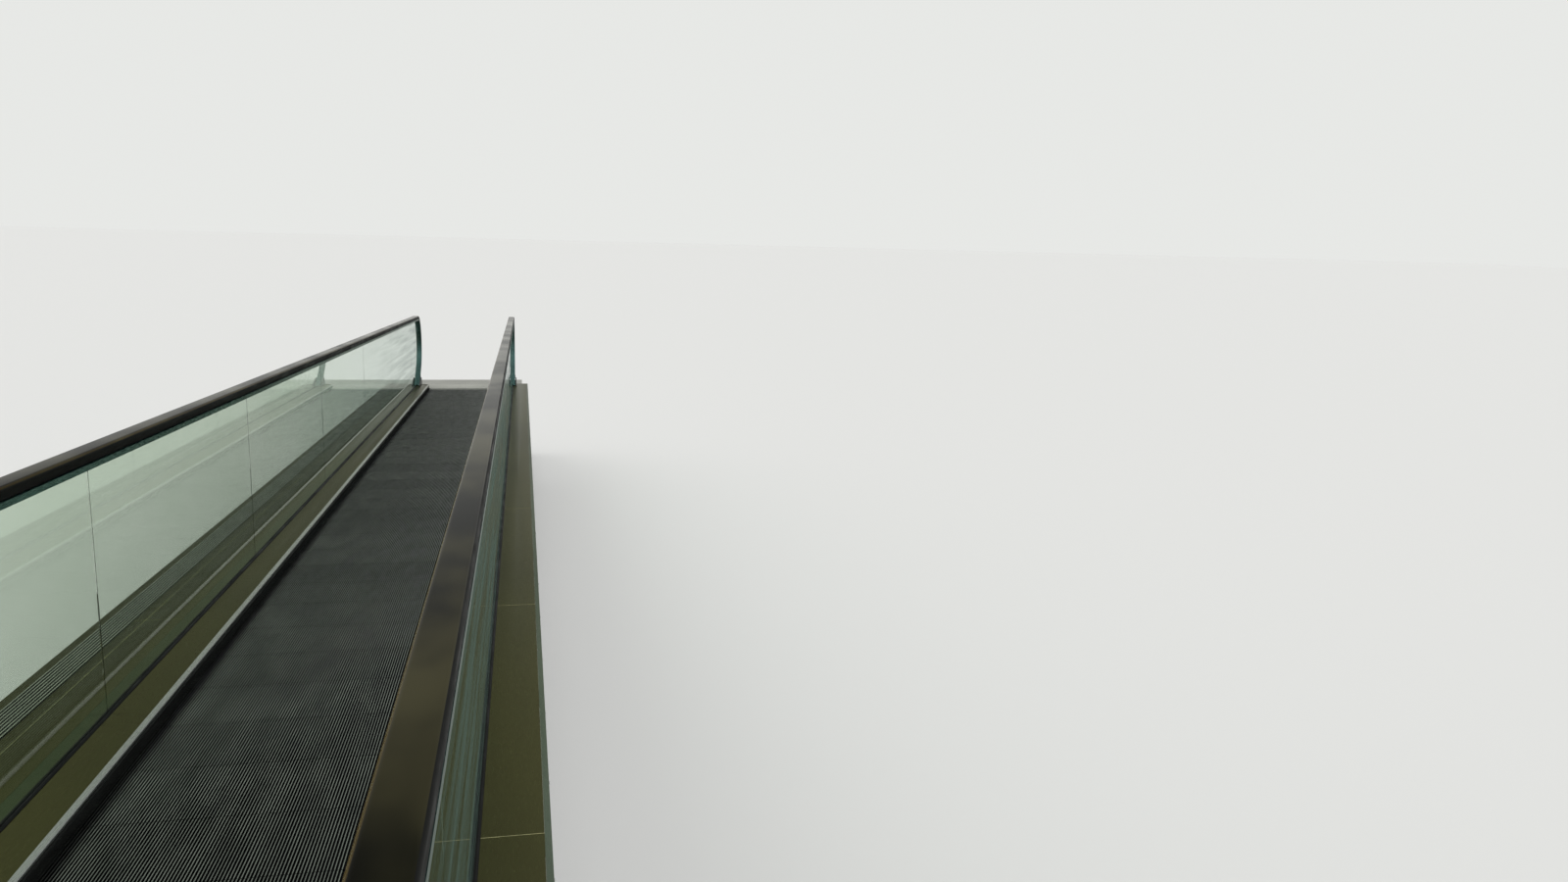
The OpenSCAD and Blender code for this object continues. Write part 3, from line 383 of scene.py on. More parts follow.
steel_paint = painted("truss_paint", (0.20, 0.225, 0.245), (0.14, 0.155, 0.17))
zinc = galvanised("zinc_sheet", (0.40, 0.41, 0.42), (0.33, 0.34, 0.35))
track_steel = brushed("track_steel", (0.42, 0.42, 0.41), (0.25, 0.25, 0.25), 0.3)
cast = painted("pallet_casting", (0.16, 0.165, 0.17), (0.09, 0.092, 0.095), 0.55)
cleats = cleat_aluminium("cleats")
chain_steel = painted("chain_steel", (0.10, 0.095, 0.09), (0.045, 0.042, 0.04), 0.32)
roller_tyre = rubber("roller_tyre", (0.10, 0.075, 0.03), 0.45, gloss=0.4)
sprocket_steel = painted("sprocket_steel", (0.24, 0.24, 0.245), (0.13, 0.13, 0.135), 0.38)
skirt_black = painted("skirt_black", (0.006, 0.008, 0.006), (0.003, 0.004, 0.003), 0.4, 0.05)
bristle_black = rubber("bristles", (0.003, 0.0033, 0.003), 0.6, gloss=0.05)
strip_metal = brushed("strip_aluminium", (0.38, 0.39, 0.39), (0.28, 0.285, 0.285), 0.28)
deck_metal = brushed("bronze_steel", (0.077, 0.074, 0.029), (0.052, 0.051, 0.022), 0.30, edge=0.45)
trim_metal = brushed("trim_aluminium", (0.078, 0.105, 0.066), (0.054, 0.074, 0.046), 0.34, edge=0.4)
edge_metal = brushed("edge_trim_aluminium", (0.150, 0.182, 0.140), (0.098, 0.122, 0.095), 0.3, edge=0.35)
ribbed_metal = ribbed_aluminium("ribbed_aluminium")
enamel = painted("machine_enamel", (0.060, 0.115, 0.165), (0.040, 0.080, 0.120), 0.35)
sealant = rubber("cream_sealant", (0.24, 0.22, 0.11), 0.6, gloss=0.3)
clamp_metal = brushed("clamp_aluminium", (0.40, 0.42, 0.41), (0.28, 0.29, 0.28), 0.36)
guide_metal = brushed("guide_aluminium", (0.085, 0.165, 0.155), (0.055, 0.110, 0.105), 0.26, edge=0.5)
landing_metal = brushed("landing_aluminium", (0.44, 0.44, 0.43), (0.28, 0.28, 0.275), 0.38)
comb_metal = brushed("comb_aluminium", (0.52, 0.52, 0.50), (0.36, 0.36, 0.35), 0.3)
gasket_rubber = rubber("gasket_rubber", (0.0028, 0.003, 0.0028), 0.5, gloss=0.03)
rail_rubber = rail_material("rail_rubber")
rail_edge = rubber("rail_edge_rubber", (0.0032, 0.0034, 0.003), 0.45, gloss=0.01)
inlet_plastic = rubber("inlet_plastic", (0.012, 0.012, 0.012), 0.42, gloss=0.3)
slide_cloth = rubber("sliding_layer", (0.26, 0.18, 0.045), 0.7)
bolt_steel = brushed("bolt_steel", (0.45, 0.45, 0.44), (0.30, 0.30, 0.30), 0.32, (1, 1, 1), 300)
glass = glass_material("balustrade_glass")

NODE_MATERIALS = {
    "truss_left": steel_paint, "truss_right": steel_paint, "cross_members": steel_paint,
    "drip_tray": zinc, "side_brackets_left": zinc, "side_brackets_right": zinc,
    "upper_tracks": track_steel, "return_tracks": track_steel, "cleated_tread": cleats,
    "pallet_band": cast, "pallet_chains": chain_steel,
    "drive_sprockets": sprocket_steel, "tension_sprockets": sprocket_steel,
    "skirts": skirt_black, "skirt_brushes": bristle_black, "edge_strips": strip_metal,
    "inner_deck_left": deck_metal, "inner_deck_right": deck_metal,
    "glass_clamp_left": clamp_metal, "glass_clamp_right": clamp_metal, "glass_gaskets": gasket_rubber,
    "glass_left": glass, "glass_right": glass,
    "handrail_guide_left": guide_metal, "handrail_guide_right": guide_metal,
    "handrail_left": rail_rubber, "handrail_right": rail_rubber, "handrail_inlets": inlet_plastic,
    "outer_deck_left": deck_metal, "outer_deck_right": deck_metal, "ribbed_strip": ribbed_metal,
    "glass_trim_left": trim_metal, "drive_unit": enamel, "tension_units": sprocket_steel,
    "handrail_drives": track_steel,
    "fascia_left": deck_metal, "fascia_right": edge_metal, "deck_end_caps": deck_metal,
    "comb_upper": comb_metal, "comb_lower": comb_metal,
    "landing_frame_upper": steel_paint, "landing_frame_lower": steel_paint,
    "landing_covers": landing_metal, "station_panels": zinc, "trestles": steel_paint,
}

for name, material in NODE_MATERIALS.items():
    nodes[name].data.materials.clear()
    nodes[name].data.materials.append(material)


# Mesh helpers

def piece(name, points, faces, material, slot, smooth=False, place=RAMP, values=None):
    """A mesh piece that rides on the walkway; values is {attribute name: one number a point}."""
    mesh = bpy.data.meshes.new(name)
    mesh.from_pydata([tuple(p) for p in points], [], faces)
    mesh.update()
    if values:
        for key, numbers in values.items():
            mesh.attributes.new(key, "FLOAT", "POINT").data.foreach_set("value", numbers)
    mesh.transform(place)
    fixer = bmesh.new()
    fixer.from_mesh(mesh)
    bmesh.ops.recalc_face_normals(fixer, faces=fixer.faces)
    fixer.to_mesh(mesh)
    fixer.free()
    for polygon in mesh.polygons:
        polygon.use_smooth = smooth
    mesh.materials.append(material)
    thing = bpy.data.objects.new(name, mesh)
    bpy.context.scene.collection.objects.link(thing)
    if smooth:
        mesh.set_sharp_from_angle(angle=math.radians(35))
    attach(thing, "root")
    return thing


def tube_faces(sides, rings, caps=(True, True)):
    """Faces of a tube through rings of points, with a cap on its first ring, its last, or both."""
    faces = [(k * sides + i, k * sides + (i + 1) % sides,
              (k + 1) * sides + (i + 1) % sides, (k + 1) * sides + i)
             for k in range(rings - 1) for i in range(sides)]
    if caps[0]:
        faces.append(tuple(range(sides)))
    if caps[1]:
        faces.append(tuple(range(rings * sides - 1, (rings - 1) * sides - 1, -1)))
    return faces


def prism(outline, start, end):
    """An outline of (across, height) pairs, run from start to end down the slope."""
    points = [(x, s, h) for s in (start, end) for x, h in outline]
    return points, tube_faces(len(outline), 2)


def plate(outline, near, far):
    """An outline of (station, height) pairs, run from near to far across the walkway."""
    points = [(x, s, h) for x in (near, far) for s, h in outline]
    return points, tube_faces(len(outline), 2)


def turned(rings, sides, along_x=False, caps=(True, True)):
    """A turned shape through (distance, radius) rings along +Z, or along +X."""
    angles = [2 * math.pi * i / sides for i in range(sides)]
    points = [(r * math.cos(a), r * math.sin(a), d) for d, r in rings for a in angles]
    if along_x:
        points = [(z, x, y) for x, y, z in points]
    return points, tube_faces(sides, len(rings), caps)


def copies(points, faces, places):
    """The same mesh at each of several 4x4 places, joined."""
    all_points, all_faces = [], []
    for place in places:
        base = len(all_points)
        all_points += [place @ Vector(p) for p in points]
        all_faces += [tuple(base + i for i in face) for face in faces]
    return all_points, all_faces


def joined(parts):
    all_points, all_faces = [], []
    for points, faces in parts:
        base = len(all_points)
        all_points += list(points)
        all_faces += [tuple(base + i for i in face) for face in faces]
    return all_points, all_faces


def box_mesh(low, high):
    outline = [(low[0], low[2]), (high[0], low[2]), (high[0], high[2]), (low[0], high[2])]
    return prism(outline, low[1], high[1])


def shift(x, s, h):
    return Matrix.Translation((x, s, h))


def outward(side):
    """Turns +Z to face out across the walkway."""
    return Matrix.Rotation(side * math.pi / 2, 4, "Y")


def arc(centre, radius, start, end, steps):
    return [(centre[0] + radius * math.cos(start + (end - start) * i / steps),
             centre[1] + radius * math.sin(start + (end - start) * i / steps))
            for i in range(steps + 1)]


# Pallets

def loop_at(u):
    """Place of the chain's joint after u links, with +Y along the chain's run."""
    a = RUN_LINKS
    b = a + TURN_LINKS
    c = b + RUN_LINKS
    if u <= a:
        s, h, turn = -SPROCKET_S + u * PITCH, -AXLE_DEPTH, 0
    elif u <= b:
        angle = (u - a) * LINK_ANGLE
        s, h = SPROCKET_S + SPROCKET_R * math.sin(angle), SPROCKET_H + SPROCKET_R * math.cos(angle)
        turn = -angle
    elif u <= c:
        s, h, turn = SPROCKET_S - (u - b) * PITCH, SPROCKET_H - SPROCKET_R, math.pi
    else:
        angle = (u - c) * LINK_ANGLE
        s, h = -SPROCKET_S - SPROCKET_R * math.sin(angle), SPROCKET_H - SPROCKET_R * math.cos(angle)
        turn = math.pi - angle
    return shift(0, s, h) @ Matrix.Rotation(turn, 4, "X")


def tread_outline(fine):
    """The grooved tread across the band, with its crests at AXLE_DEPTH over the axle, and how far up a
    cleat each point is. A fine outline has its crests' edges eased."""
    count = 100
    crest, root, ease, floor_t = 0.0016, 0.0022, 0.0004, 0.004
    low = AXLE_DEPTH - GROOVE
    outline, crests = [], []
    for i in range(count):
        x = (i - (count - 1) / 2) * CLEAT_PITCH
        outline += [(x - root, low), (x - crest, AXLE_DEPTH - ease)]
        crests += [0.0, 0.55]
        if fine:
            outline += [(x - crest + ease, AXLE_DEPTH), (x + crest - ease, AXLE_DEPTH)]
            crests += [1.0, 1.0]
        outline += [(x + crest, AXLE_DEPTH - ease), (x + root, low)]
        crests += [0.55, 0.0]
    edge = (count - 1) / 2 * CLEAT_PITCH + root
    outline += [(edge, low - floor_t), (-edge, low - floor_t)]
    crests += [0.0, 0.0]
    return outline, crests


def treads(name, turns, fine):
    """The treads of the pallets at these turns of the loop, each with its own tone."""
    outline, crests = tread_outline(fine)
    half = (PALLET - PALLET_GAP) / 2
    points, faces = prism(outline, -half, half)
    places = [loop_at(u) for u in turns]
    shades = []
    for _ in places:
        shades += [random.uniform(0.0, 0.45)] * len(points)
    made = piece(name, *copies(points, faces, places), cleats, "tread",
                 values={"crest": 2 * crests * len(places), "shade": shades})
    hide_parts("cleated_tread")


pallet_turns = [i * LINKS_PER_PALLET for i in range(LOOP_LINKS // LINKS_PER_PALLET)]
treads("pallet_treads_top", [u for u in pallet_turns if 0 < u < RUN_LINKS], True)
treads("pallet_treads_return", [u for u in pallet_turns if u > RUN_LINKS], False)


# Chains

def link_plate():
    """A waisted link plate along +Y, from joint to joint."""
    eye_r, thick, waist = 0.019, 0.0034, math.radians(40)
    outline = arc((0, 0), eye_r, waist, 2 * math.pi - waist, 8)
    outline += arc((PITCH, 0), eye_r, math.pi + waist, 3 * math.pi - waist, 8)
    return plate(outline, 0, thick)


def chains():
    """Link plates that overlap in turn, with the pins' chamfered heads outside them."""
    gap, plate_step, pin_r, pin_len, chamfer = 0.0002, 0.0036, 0.009, 0.0086, 0.0012
    link = link_plate()
    pin = turned([(0, pin_r), (pin_len - chamfer, pin_r), (pin_len, pin_r - chamfer)], 10, along_x=True)
    parts = []
    for side in (1, -1):
        flip = Matrix.Scale(side, 4, (1, 0, 0))
        links, pins = [], []
        for u in range(LOOP_LINKS):
            here = loop_at(u).translation
            there = loop_at((u + 1) % LOOP_LINKS).translation
            turn = Matrix.Rotation(math.atan2(there.z - here.z, there.y - here.y), 4, "X")
            links.append(flip @ shift(CHAIN_X + gap + (u % 2) * plate_step, here.y, here.z) @ turn)
            pins.append(flip @ shift(CHAIN_X + 2 * gap, here.y, here.z))
        parts += [copies(*link, links), copies(*pin, pins)]
    made = piece("chain_links", *joined(parts), chain_steel, "chain")
    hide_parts("pallet_chains")


chains()


# Handrails

def rail_path(step):
    """Stations, heights and outward angles round the handrail's loop."""
    def bend(centre, radius, start, end):
        steps = max(2, round(radius * abs(end - start) / step))
        angles = [start + (end - start) * i / steps for i in range(steps + 1)]
        return [(centre[0] + radius * math.cos(a), centre[1] + radius * math.sin(a), a) for a in angles]

    half = bend((BEND_S, BEND_H), RETURN_BEND_R, -math.pi / 2, -EXIT_ANGLE)
    half += bend((NEWEL_S, NEWEL_H), NEWEL_R, -EXIT_ANGLE, math.pi / 2)
    return half + [(-s, h, math.pi - a) for s, h, a in reversed(half)]


def rail_section(rounding):
    """The handrail's C: (depth inward from the crown, across) pairs, and how much painted highlight each
    point gets.
    """
    half = RAIL_W / 2
    mouth, side_r, lip_r, lip_d = 0.0172, 0.0045, 0.0022, 0.006
    inside = half - RAIL_T
    highlight_from, highlight_to = 0.0016, 0.0075
    right = arc((rounding, half - rounding), rounding, math.pi, math.pi / 2, 7)
    right += arc((RAIL_D - side_r, half - side_r), side_r, math.pi / 2, 0, 4)
    right += arc((RAIL_D - lip_r, mouth + lip_r), lip_r, 0, -math.pi / 2, 3)
    right += [(RAIL_D - lip_d, mouth + 0.0004), (RAIL_D - lip_d, inside), (RAIL_T, inside)]
    section = right + [(d, -x) for d, x in reversed(right)]
    # Painted highlight mask: the crown's rounding on the side towards the band.
    edge_highlight = [1.0 if x < 0 and highlight_from < d < highlight_to else 0.0 for d, x in section]
    return section, edge_highlight


def sweep(section, path, x_mid, side=1):
    """A closed section carried round a closed path in the walkway's upright plane."""
    count, rings = len(section), len(path)
    points = [(x_mid + side * x, s - depth * math.cos(a), h - depth * math.sin(a))
              for s, h, a in path for depth, x in section]
    faces = [(k * count + i, k * count + (i + 1) % count,
              (k + 1) % rings * count + (i + 1) % count, (k + 1) % rings * count + i)
             for k in range(rings) for i in range(count)]
    return points, faces


def handrail(side, name, highlight_strength):
    """One handrail loop, with its sliding layer showing at the lips; the last argument tells how strong the
    painted highlight along its crown's inner edge is.
    """
    shoulder_d, shoulder_x = 0.0075, 0.0335
    lining_in, lining_out, lining_top, lining_deep = 0.0151, 0.0171, 0.0004, 0.0065
    path = rail_path(0.02)
    section, edge_highlight = rail_section(0.013)
    edge_highlight = [value * highlight_strength for value in edge_highlight]
    points, faces = sweep(section, path, side * GLASS_X, side)
    made = piece("rail_" + name, points, faces, rail_rubber, "handrail", smooth=True,
                 values={"edge_highlight": edge_highlight * len(path)})
    made.data.materials.append(rail_edge)
    for polygon in made.data.polygons:
        depth, x = section[polygon.index % len(section)]
        polygon.material_index = int(depth > shoulder_d or x > shoulder_x)
    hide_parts("handrail_" + name)
    lips = []
    for edge in (1, -1):
        lip = [(RAIL_D + lining_top, edge * lining_in), (RAIL_D + lining_top, edge * lining_out),
               (RAIL_D - lining_deep, edge * lining_out), (RAIL_D - lining_deep, edge * lining_in)]
        lips.append(sweep(lip, path, side * GLASS_X))
    piece("rail_lining_" + name, *joined(lips), slide_cloth, "handrail")


# The right rail gets the full painted highlight, the left one a weaker one.
handrail(1, "right", 1.0)
handrail(-1, "left", 0.3)


# Glass joints

def glass_seals():
    """A thin dark bead that fills each plumb joint, a little behind the glass's faces."""
    half, low, high = 0.0017, DECK_H + 0.006, RAIL_H - RAIL_D - 0.036
    half_t = GLASS_T / 2 - 0.0008
    lean = math.tan(SLOPE)
    parts = []
    for side in (1, -1):
        for i in range(BAYS + 1):
            s = (i - BAYS / 2) * BAY
            outline = [(s - half - low * lean, low), (s + half - low * lean, low),
                       (s + half - high * lean, high), (s - half - high * lean, high)]
            parts.append(plate(outline, side * (GLASS_X - half_t), side * (GLASS_X + half_t)))
    piece("glass_joint_seals", *joined(parts), gasket_rubber, "gasket")


glass_seals()


# Skirt brushes

def brushes():
    """A holder strip and short bristles that lean over the band's edge."""
    back = SKIRT_X - SEAT
    holder = [(back, 0.028), (back, 0.012), (back - 0.0057, 0.012), (back - 0.0072, 0.016),
              (back - 0.0072, 0.022), (back - 0.0057, 0.0262)]
    root_x, spacing, reach, wide = back - 0.0071, 0.0045, 0.0305, 0.0011
    count = int(2 * COMB_S / spacing)
    parts = []
    rows = ((0.021, 0.004, 0.0), (0.016, 0.006, 0.5))
    for side in (1, -1):
        parts.append(prism([(side * x, h) for x, h in holder], -COMB_S, COMB_S))
        for height, drop, stagger in rows:
            for i in range(count):
                s = -COMB_S + (i + stagger + random.uniform(-0.25, 0.25)) * spacing
                tip_x = root_x - reach * random.uniform(0.86, 1.05)
                tip_s = s + random.uniform(-0.001, 0.001)
                tip_h = height - drop - random.uniform(0, 0.0012)
                parts.append((
                    [(side * root_x, s - wide, height), (side * root_x, s + wide, height),
                     (side * root_x, s, height + 2 * wide), (side * tip_x, tip_s, tip_h)],
                    [(0, 1, 3), (1, 2, 3), (2, 0, 3)]))
    made = piece("skirt_bristles", *joined(parts), bristle_black, "brush")
    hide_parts("skirt_brushes")


brushes()


# Deck seams

def strip(x0, x1, s0, s1, h0, h1):
    """A bar with its upper edges eased."""
    ease = min(0.0004, (x1 - x0) / 4, (h1 - h0) / 2)
    outline = [(x0, h0), (x1, h0), (x1, h1 - ease), (x1 - ease, h1), (x0 + ease, h1), (x0, h1 - ease)]
    return prism(outline, s0, s1)


def deck_seams():
    """Cream sealant over the joints at the middle of each bay, one long bead on the left deck, and
    fillers flush in the gaps at the bays' ends."""
    low, high = DECK_H + 0.0001, DECK_H + 0.0005
    filler_low, filler_high, filler_half = DECK_H - 0.002, DECK_H - 0.0001, 0.00095
    bead_x, half, bead_gap = 0.882, 0.0013, 0.003
    decks = ((OUTER_X, OUTER_X + OUTER_RIGHT), (-OUTER_X - OUTER_LEFT, -OUTER_X - GLASS_TRIM - 0.001))
    parts, fillers = [], []
    middles = [(i + 0.5 - BAYS / 2) * BAY for i in range(BAYS)]
    for s in middles:
        parts += [strip(x0, x1, s - half, s + half, low, high) for x0, x1 in decks]
    stops = [-DECK_END] + middles + [DECK_END]
    for start, stop in zip(stops, stops[1:]):
        parts.append(strip(-bead_x - half, -bead_x + half, start + bead_gap, stop - bead_gap, low, high))
    for i in range(BAYS + 1):
        s = (i - BAYS / 2) * BAY
        fillers += [box_mesh((x0, s - filler_half, filler_low), (x1, s + filler_half, filler_high))
                    for x0, x1 in decks]
    piece("deck_seams", *joined(parts), sealant, "deck")
    piece("deck_fillers", *joined(fillers), deck_metal, "deck")


deck_seams()


# Landings

def landing_ribs():
    """Fine raised ribs on the covers and comb carriers, along the way people walk."""
    rib_w, pitch, rise, flank, margin = 0.005, 0.0125, 0.0012, 0.0008, 0.012
    profile = [(-rib_w / 2, 0), (-rib_w / 2 + flank, rise), (rib_w / 2 - flank, rise), (rib_w / 2, 0)]
    spans = [(DECK_END + 0.024, CARRIER_END - 0.004)]
    spans += [(CARRIER_END + i * COVER + 0.006, CARRIER_END + (i + 1) * COVER - 0.005) for i in range(2)]
    half_count = int((CHORD_OUT - margin) / pitch)
    parts = []
    for end in (1, -1):
        for start, stop in spans:
            for i in range(-half_count, half_count + 1):
                outline = [(i * pitch + x, LANDING_H + h) for x, h in profile]
                parts.append(prism(outline, end * start, end * stop))
    piece("landing_ribs", *joined(parts), landing_metal, "landing")


def screw_heads(name, places, radius, height, material, slot):
    """Cap screw heads: a chamfered disc with a six-sided socket."""
    sides, socket, sixth = 18, 0.45, math.pi / 3
    rings = [(0.0, radius), (height - radius * 0.15, radius), (height, radius * 0.85),
             (height, radius * socket), (height - radius * 0.3, radius * socket)]
    points = []
    for h, r in rings:
        for i in range(sides):
            angle = 2 * math.pi * i / sides
            if r <= radius * socket:
                angle = round(angle / sixth) * sixth
            points.append((r * math.cos(angle), r * math.sin(angle), h))
    faces = tube_faces(sides, len(rings), (False, True))
    return piece(name, *copies(points, faces, places), material, slot)


def landing_screws():
    """Two rows of seven behind each comb, and four screws in each cover."""
    rows, spacing = (0.045, 0.115), 0.16
    cover_x, inset = 0.7625, 0.03
    comb_head, cover_head = LANDING_H - 0.0006, LANDING_H - 0.0004
    places = []
    for end in (1, -1):
        for i in range(7):
            for s in rows:
                places.append(shift((i - 3) * spacing, end * (COMB_S + COMB_LEN + s), comb_head))
        for i in range(2):
            for s in (inset, COVER - inset):
                for x in (-cover_x, cover_x):
                    places.append(shift(x, end * (CARRIER_END + i * COVER + s), cover_head))
    screw_heads("landing_screws", places, 0.0075, 0.0016, bolt_steel, "comb")


def comb_joints():
    """Lines between the comb's segments, and the black strip behind its teeth."""
    half_line, half_w, line_len, strip_len = 0.0009, 0.49, 0.14, 0.006
    line_top, strip_top = LANDING_H + 0.0004, LANDING_H + 0.0008
    root = COMB_S + COMB_LEN
    parts = []
    for end in (1, -1):
        near, far = sorted((end * root, end * (root + line_len)))
        parts += [strip(x - half_line, x + half_line, near, far, LANDING_H, line_top)
                  for x in (-0.3, -0.1, 0.1, 0.3)]
        near, far = sorted((end * (root + line_len), end * (root + line_len + strip_len)))
        parts.append(strip(-half_w, half_w, near, far, LANDING_H, strip_top))
    piece("comb_joints", *joined(parts), gasket_rubber, "comb")


landing_ribs()
landing_screws()
comb_joints()


# Nuts and bolts

def hex_head(across_flats, height, washer):
    """A hexagon head standing on +Z, on a washer this thick."""
    radius = across_flats / math.sqrt(3)
    rim = radius * 1.25
    rings = [(washer, radius), (washer + height * 0.85, radius), (washer + height, radius * 0.86)]
    return joined([turned([(0, rim), (washer, rim)], 16), turned(rings, 6)])


def anchors():
    """Threaded studs with nuts and washers in the sole plates' holes."""
    stud_r, stud_low, stud_high, hole, sole_top = 0.0095, -0.0195, 0.042, 0.095, 0.02
    one = joined([hex_head(0.03, 0.016, 0.003), turned([(stud_low, stud_r), (stud_high, stud_r)], 12)])
    places = []
    for mount in frame["record"]["mounts"]:
        if mount["kind"] != "bolt_pattern":
            continue
        x, y, z = mount["pos_m"]
        for i in (-1, 1):
            for j in (-1, 1):
                turn = Matrix.Rotation(random.uniform(0, math.pi / 3), 4, "Z")
                places.append(shift(x + i * hole, y + j * hole, sole_top) @ turn)
    piece("anchor_bolts", *copies(*one, places), bolt_steel, "galvanised", place=Matrix.Identity(4))


anchors()


def splices():
    """Plates with six bolts each over the chords' joints."""
    plate_t, half_len, half_h, middle, spacing = 0.008, 0.19, 0.032, 0.34, 0.06
    head = hex_head(0.024, 0.011, 0.0025)
    parts, bolts = [], []
    for side in (1, -1):
        face = side * (CHORD_OUT + plate_t + 0.0001)
        low, high = sorted((face - side * plate_t, face))
        for joint in (-2 * BAY, 0, 2 * BAY):
            s = joint + middle
            for top in (TRUSS_TOP, -TRUSS_DEPTH + CHORD):
                h = top - CHORD / 2
                parts.append(box_mesh((low, s - half_len, h - half_h), (high, s + half_len, h + half_h)))
                bolts += [shift(face, s + (i - 2.5) * spacing, h) @ outward(side) for i in range(6)]
    piece("chord_splices", *joined(parts), steel_paint, "truss_steel")
    piece("splice_bolts", *copies(*head, bolts), bolt_steel, "galvanised")


def gussets():
    """Plates where posts and diagonals meet the chords, each with a group of bolts."""
    post_out, plate_t = 0.7851, 0.008
    low_h, high_h = -TRUSS_DEPTH + CHORD, TRUSS_TOP - CHORD
    shape = ((-0.2, 0), (0.2, 0), (0.2, 0.05), (0.085, 0.21), (-0.085, 0.21), (-0.2, 0.05))
    holes = ((0, 0.05), (0, 0.11), (0, 0.17), (-0.12, 0.06), (0.12, 0.06), (-0.08, 0.12), (0.08, 0.12))
    head = hex_head(0.019, 0.009, 0.002)
    parts, bolts = [], []
    for side in (1, -1):
        near, far = side * post_out, side * (post_out + plate_t)
        for i in range(-BAYS, BAYS + 1):
            base, up = (low_h, 1) if i % 2 == 0 else (high_h, -1)
            s = i * BAY / 2
            parts.append(plate([(s + a, base + up * b) for a, b in shape], near, far))
            bolts += [shift(far, s + a, base + up * b) @ outward(side) for a, b in holes]
    piece("truss_gussets", *joined(parts), steel_paint, "truss_steel")
    piece("gusset_bolts", *copies(*head, bolts), bolt_steel, "galvanised")


def trestle_heads():
    """Flange plates between trestle and truss, and stiffeners on the sole plates."""
    mid = (CHORD_IN + CHORD_OUT) / 2
    half, plate_t, bolt = 0.098, 0.014, 0.08
    top, under = -TRUSS_DEPTH - 0.0004, -TRUSS_DEPTH - plate_t
    leg, sole_top, rib_t = 0.06, 0.0201, 0.008
    rib = [(leg, sole_top), (leg + 0.055, sole_top), (leg + 0.055, 0.035),
           (leg + 0.012, 0.13), (leg, 0.13)]
    nut = hex_head(0.024, 0.014, 0.003)
    down = Matrix.Rotation(math.pi, 4, "X")
    plates, nuts, ribs = [], [], []
    for i in range(-2, 3):
        s = i * (TRUSS_END - 0.5) / 2
        for side in (1, -1):
            x = side * mid
            plates.append(box_mesh((x - half, s - half, under), (x + half, s + half, top)))
            nuts += [shift(x + a * bolt, s + b * bolt, under) @ down for a in (-1, 1) for b in (-1, 1)]
            foot = RAMP @ Vector((x, s, -TRUSS_DEPTH))
            places = [shift(foot.x, foot.y, 0) @ Matrix.Rotation(turn * math.pi / 2, 4, "Z")
                      for turn in range(4)]
            ribs.append(copies(*prism(rib, -rib_t / 2, rib_t / 2), places))
    piece("trestle_flanges", *joined(plates), steel_paint, "truss_steel")
    piece("flange_nuts", *copies(*nut, nuts), bolt_steel, "galvanised")
    piece("sole_stiffeners", *joined(ribs), steel_paint, "truss_steel", place=Matrix.Identity(4))


def panel_details():
    """Screws round the station panels, seams between them, and louvres that let the machinery breathe."""
    face = CHORD_OUT + 0.0024
    start, stop = BAYS * BAY / 2 + 0.03, TRUSS_END
    low, high = -TRUSS_DEPTH, TRUSS_TOP - CHORD - 0.005
    inset, count, sunk, seam_t, half_seam = 0.025, 10, 0.0003, 0.0012, 0.011
    slat_count, slat_pitch, slat_low, half_slat = 11, 0.026, -0.62, 0.17
    slat = ((0, 0), (0.009, 0.003), (0.0095, 0.006), (0, 0.019))
    screws, slats, seams = [], [], []
    for side in (1, -1):
        near, far = sorted((side * face, side * (face + seam_t)))
        for end in (1, -1):
            for i in range(count):
                s = start + inset + (stop - start - 2 * inset) * i / (count - 1)
                screws += [shift(side * (face - sunk), end * s, h) @ outward(side)
                           for h in (low + inset, high - inset)]
            for third in (1, 2):
                s = end * (start + (stop - start) * third / 3)
                seams.append(box_mesh((near, s - half_seam, low), (far, s + half_seam, high)))
            middle = end * (start + stop) / 2
            for i in range(slat_count):
                outline = [(side * (face + x), slat_low + i * slat_pitch + h) for x, h in slat]
                slats.append(prism(outline, middle - half_slat, middle + half_slat))
    screw_heads("panel_screws", screws, 0.006, 0.0035, bolt_steel, "galvanised")
    piece("panel_louvres", *joined(slats), zinc, "galvanised")
    piece("panel_seams", *joined(seams), zinc, "galvanised")


def trim_screws():
    """Screws along both fascias and on the end caps."""
    low, high, cap_h, cap_out = DECK_H - 0.138, DECK_H - 0.03, 0.036, 0.0087
    inset, spans, sunk = 0.08, 26, 0.0003
    places = []
    for side, edge in ((1, RIGHT_X), (-1, LEFT_X)):
        for i in range(spans + 1):
            s = -DECK_END + inset + 2 * (DECK_END - inset) * i / spans
            places += [shift(side * (edge - sunk), s, h) @ outward(side) for h in (low, high)]
        for end in (1, -1):
            forward = Matrix.Rotation(-end * math.pi / 2, 4, "X")
            places += [shift(side * x, end * (DECK_END + cap_out), cap_h) @ forward
                       for x in (0.56, 0.62, 0.72, 0.84)]
    screw_heads("trim_screws", places, 0.0055, 0.003, bolt_steel, "deck")


